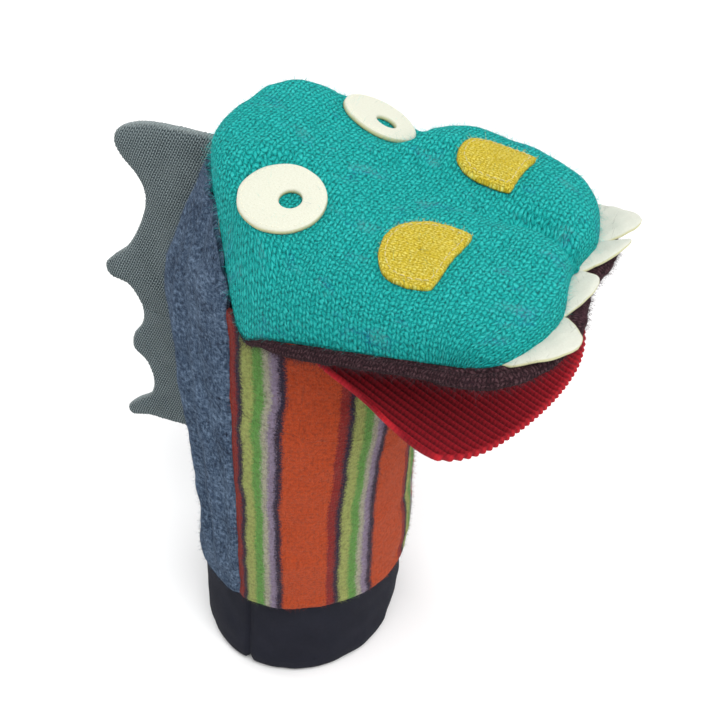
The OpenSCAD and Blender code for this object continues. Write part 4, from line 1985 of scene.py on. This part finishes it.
@dataclass
class Jaw:
    """The lower jaw: ribbed lining, rolled rim and the chin under it."""

    finishes: Finishes
    corners: tuple[tuple[float, float], ...] = (
        (-58, -1), (-60.5, 8), (-62, 18), (-62.5, 28), (-63.5, 39), (-65.5, 51), (-67, 62.5),
        (-65.5, 73), (-57, 81.5), (-44, 88), (-28, 92.5), (-10, 96), (10, 98), (30, 97.6), (46, 94),
        (57, 88), (63.5, 78.5), (66, 67), (65.5, 54), (62.5, 40), (60, 24), (58, 10), (57, -1),
    )
    pitch: float = 3.7
    made: list[bpy.types.Object] = field(default_factory=list)

    def build(self) -> list[bpy.types.Object]:
        """Builds the lining with its rim and the chin.

        Returns:
            The pieces made.
        """
        edge = spline(self.corners, 600, False)
        centre = np.stack([edge[:, 0] * 0.55, np.clip(edge[:, 1] * 0.15, -1, 12)], 1)
        way = unit(edge - centre)
        self.lining(edge, centre, way)
        self.chin(edge, way)
        return self.made

    def rib(self, x: Array, s: Array) -> Array:
        """Phase of the ribs at a place on the jaw: they run forward and fan out a little."""
        return (x * (1 - 0.10 * ease(s / 90)) + 0.0016 * x * s) / self.pitch

    def lining(self, edge: Array, centre: Array, way: Array) -> None:
        """The ribbed inside with its rolled rim, as bands of one outline.

        Args:
            edge: The outline in the jaw's plane.
            centre: The point toward which each point of the outline shrinks.
            way: Unit direction from the centre to each point.
        """
        roll = 1.9
        rib_edge = 0.5 + 0.5 * np.cos(2 * np.pi * self.rib(edge[:, 0], edge[:, 1]))
        side, run = np.abs(way[:, 0]), run_along(edge)
        at_side = ease((side - 0.75) / 0.2)
        rib_edge = rib_edge * (1 - at_side) + (0.62 + 0.2 * np.cos(2 * np.pi * run / self.pitch)) * at_side
        scallop = (rib_edge - 0.5) * 1.1
        inner_rows, inner_flat, painted_shading_rows = [], [], []
        for share in np.linspace(0.0, 0.965, 70):
            flat = centre + (edge - centre) * share
            rib = 0.5 + 0.5 * np.cos(2 * np.pi * self.rib(flat[:, 0], flat[:, 1]))
            dish = -1.1 * np.sin(math.pi * min(share / 0.965, 1.0)) ** 0.8
            high = dish + 1.25 * (rib - 0.5) - 0.3
            inner_rows.append(tilt_point(flat[:, 0], flat[:, 1], high, -JAW_DROP))
            inner_flat.append(flat)
            # Edge value: rib height for painted shade in the rib valleys, rising near the rim for a painted
            # highlight
            painted_shading_rows.append(0.06 + 0.42 * rib + 0.16 * share**14)
        for a in np.linspace(1.35, -1.2, 10):
            push = roll * math.cos(a) - roll * 0.6
            flat = edge + way * (push + scallop[:, None] * max(0.2, math.cos(a)))
            high = roll * math.sin(a) * 0.9 - 1.1 + 0 * flat[:, 0]
            inner_rows.append(tilt_point(flat[:, 0], flat[:, 1], high, -JAW_DROP))
            inner_flat.append(flat)
            # The rolled rim gets high edge values: a painted highlight, with painted shade between the ribs
            painted_shading_rows.append(0.58 + 0.5 * (rib_edge - 0.5))
        grid, flat, lift = np.stack(inner_rows), np.stack(inner_flat), np.stack(painted_shading_rows)
        patch = Patch(grid[::-1], flat[::-1], lift[::-1])
        if patch.normals()[40, :, 2].mean() < 0:
            patch = Patch(grid, flat, lift)
        lining = shell("jaw_lining_skin", patch, 1.2)
        self.keep(lining)
        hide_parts("jaw_lining")
        self.keep(fuzz("jaw_nap", patch, 2600, 1.3, 0.035, 121))

    def chin(self, edge: Array, way: Array) -> None:
        """The padded outside under the rim.

        Args:
            edge: The outline in the jaw's plane.
            way: Unit direction outward at each point.
        """
        rows, flats, painted_rib_shading = [], [], []
        middle = np.stack([edge[:, 0] * 0.0, np.clip(edge[:, 1], 5, 55) * 0.75 + 4], 1)
        for b in np.linspace(0.0, math.pi / 2, 46):
            share = math.cos(b)
            flat = middle + (edge - way * 0.6 - middle) * share
            deep = 4 + 21 * np.sin(np.pi * np.clip((flat[:, 1] + 14) / 114, 0, 1)) ** 0.6
            high = -2.4 - deep * math.sin(b) ** 1.9 + 0.5 * ripple(flat[:, 0], flat[:, 1], 30, 131)
            rib = 0.5 + 0.5 * np.cos(2 * np.pi * self.rib(flat[:, 0], flat[:, 1]))
            rows.append(tilt_point(flat[:, 0], flat[:, 1], high - 0.6 * (rib - 0.5), -JAW_DROP))
            flats.append(flat)
            # Edge value from the rib height: painted shade in the rib valleys, a painted highlight on the rib
            # tops
            painted_rib_shading.append(0.3 + 0.5 * rib)
        patch = Patch(np.stack(rows), np.stack(flats), np.stack(painted_rib_shading))
        if patch.normals()[30, :, 2].mean() > 0:
            patch = Patch(patch.points[::-1], patch.cloth[::-1], patch.edge[::-1])
        chin = shell("chin_skin", patch, 1.4)
        self.keep(chin)
        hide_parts("chin_panel")

    def keep(self, piece: bpy.types.Object) -> None:
        """Dresses a piece that rides the jaw."""
        place_on(piece, self.finishes.made[Slot.JAW], Body.JAW)
        self.made.append(piece)


# ---------------------------------------------------------------- studio


@dataclass(frozen=True)
class Studio:
    """Soft white light, a pale floor and the camera."""

    azimuth: float = -61.94
    elevation: float = 37.62
    roll: float = 1.89
    distance: float = 0.66529
    target: tuple[float, float, float] = (0.01074, -0.02393, 0.16111)
    lens: float = 70.91

    def build(self) -> None:
        """Sets the scene round the puppet."""
        scene = bpy.context.scene
        world = bpy.data.worlds.new("studio")
        scene.world = world
        world.use_nodes = True
        sky = world.node_tree.nodes["Background"]
        sky.inputs[0].default_value = (1.0, 1.0, 1.0, 1.0)
        sky.inputs[1].default_value = 0.62
        scene.view_settings.view_transform = "Standard"
        mesh = bpy.data.meshes.new("floor")
        mesh.from_pydata(
            [(-6, -6, -0.0012), (6, -6, -0.0012), (6, 6, -0.0012), (-6, 6, -0.0012)], [], [(0, 1, 2, 3)]
        )
        floor = bpy.data.objects.new("floor", mesh)
        scene.collection.objects.link(floor)
        g = Graph("floor_white")
        floor.data.materials.append(g.finish((0.96, 0.96, 0.96), 0.9, 0.0, None))
        for name, place, power, size in (
            ("key", (-0.55, -0.55, 1.25), 17.0, 1.0),
            ("fill", (0.7, -0.9, 0.7), 5.0, 1.0),
            ("back", (0.2, 0.9, 0.9), 5.0, 0.9),
        ):
            light = bpy.data.lights.new(name, "AREA")
            light.energy, light.size = power, size
            lamp = bpy.data.objects.new(name, light)
            scene.collection.objects.link(lamp)
            lamp.location = place
            lamp.rotation_euler = (Vector(place) - Vector((0, 0, 0.17))).to_track_quat("Z", "Y").to_euler()
        self.camera()

    def camera(self) -> None:
        """Places the camera."""
        a, e, r = (math.radians(v) for v in (self.azimuth, self.elevation, self.roll))
        back = Vector((math.sin(a) * math.cos(e), -math.cos(a) * math.cos(e), math.sin(e)))
        right = (-back).cross(Vector((0, 0, 1))).normalized()
        up = right.cross(-back)
        across = right * math.cos(r) + up * math.sin(r)
        above = up * math.cos(r) - right * math.sin(r)
        matrix = Matrix((across, above, back)).transposed().to_4x4()
        matrix.translation = Vector(self.target) + back * self.distance
        camera = bpy.data.cameras.new("camera")
        camera.sensor_width, camera.lens = 36.0, self.lens
        eye = bpy.data.objects.new("camera", camera)
        bpy.context.scene.collection.objects.link(eye)
        eye.matrix_world = matrix
        bpy.context.scene.camera = eye


def dress_inside(finishes: Finishes) -> None:
    """Gives the CAD pieces that stay in view their finishes.

    Args:
        finishes: The finishes of the puppet.
    """
    rows = {
        Slot.LINING: ("wrist_lining", "finger_pocket", "thumb_pocket"),
        Slot.MOUTH: ("mouth_fold",),
        Slot.PLATE: ("upper_mouth_plate", "lower_mouth_plate"),
    }
    for slot, names in rows.items():
        for name in names:
            dress(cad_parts[name], finishes.inner[slot])


def main() -> None:
    """Builds the puppet from the cuff up, then the studio."""
    logging.basicConfig(level=logging.INFO, format="%(name)s: %(message)s")
    finishes = Finishes().build()
    Cuff(finishes).build()
    BodySkins(finishes).build()
    Crest(finishes).build()
    head = Head(finishes)
    head.build()
    Face(finishes, head).build()
    Mouth(finishes, head).build()
    Jaw(finishes).build()
    dress_inside(finishes)
    Studio().build()


if __name__ == "__main__":
    main()
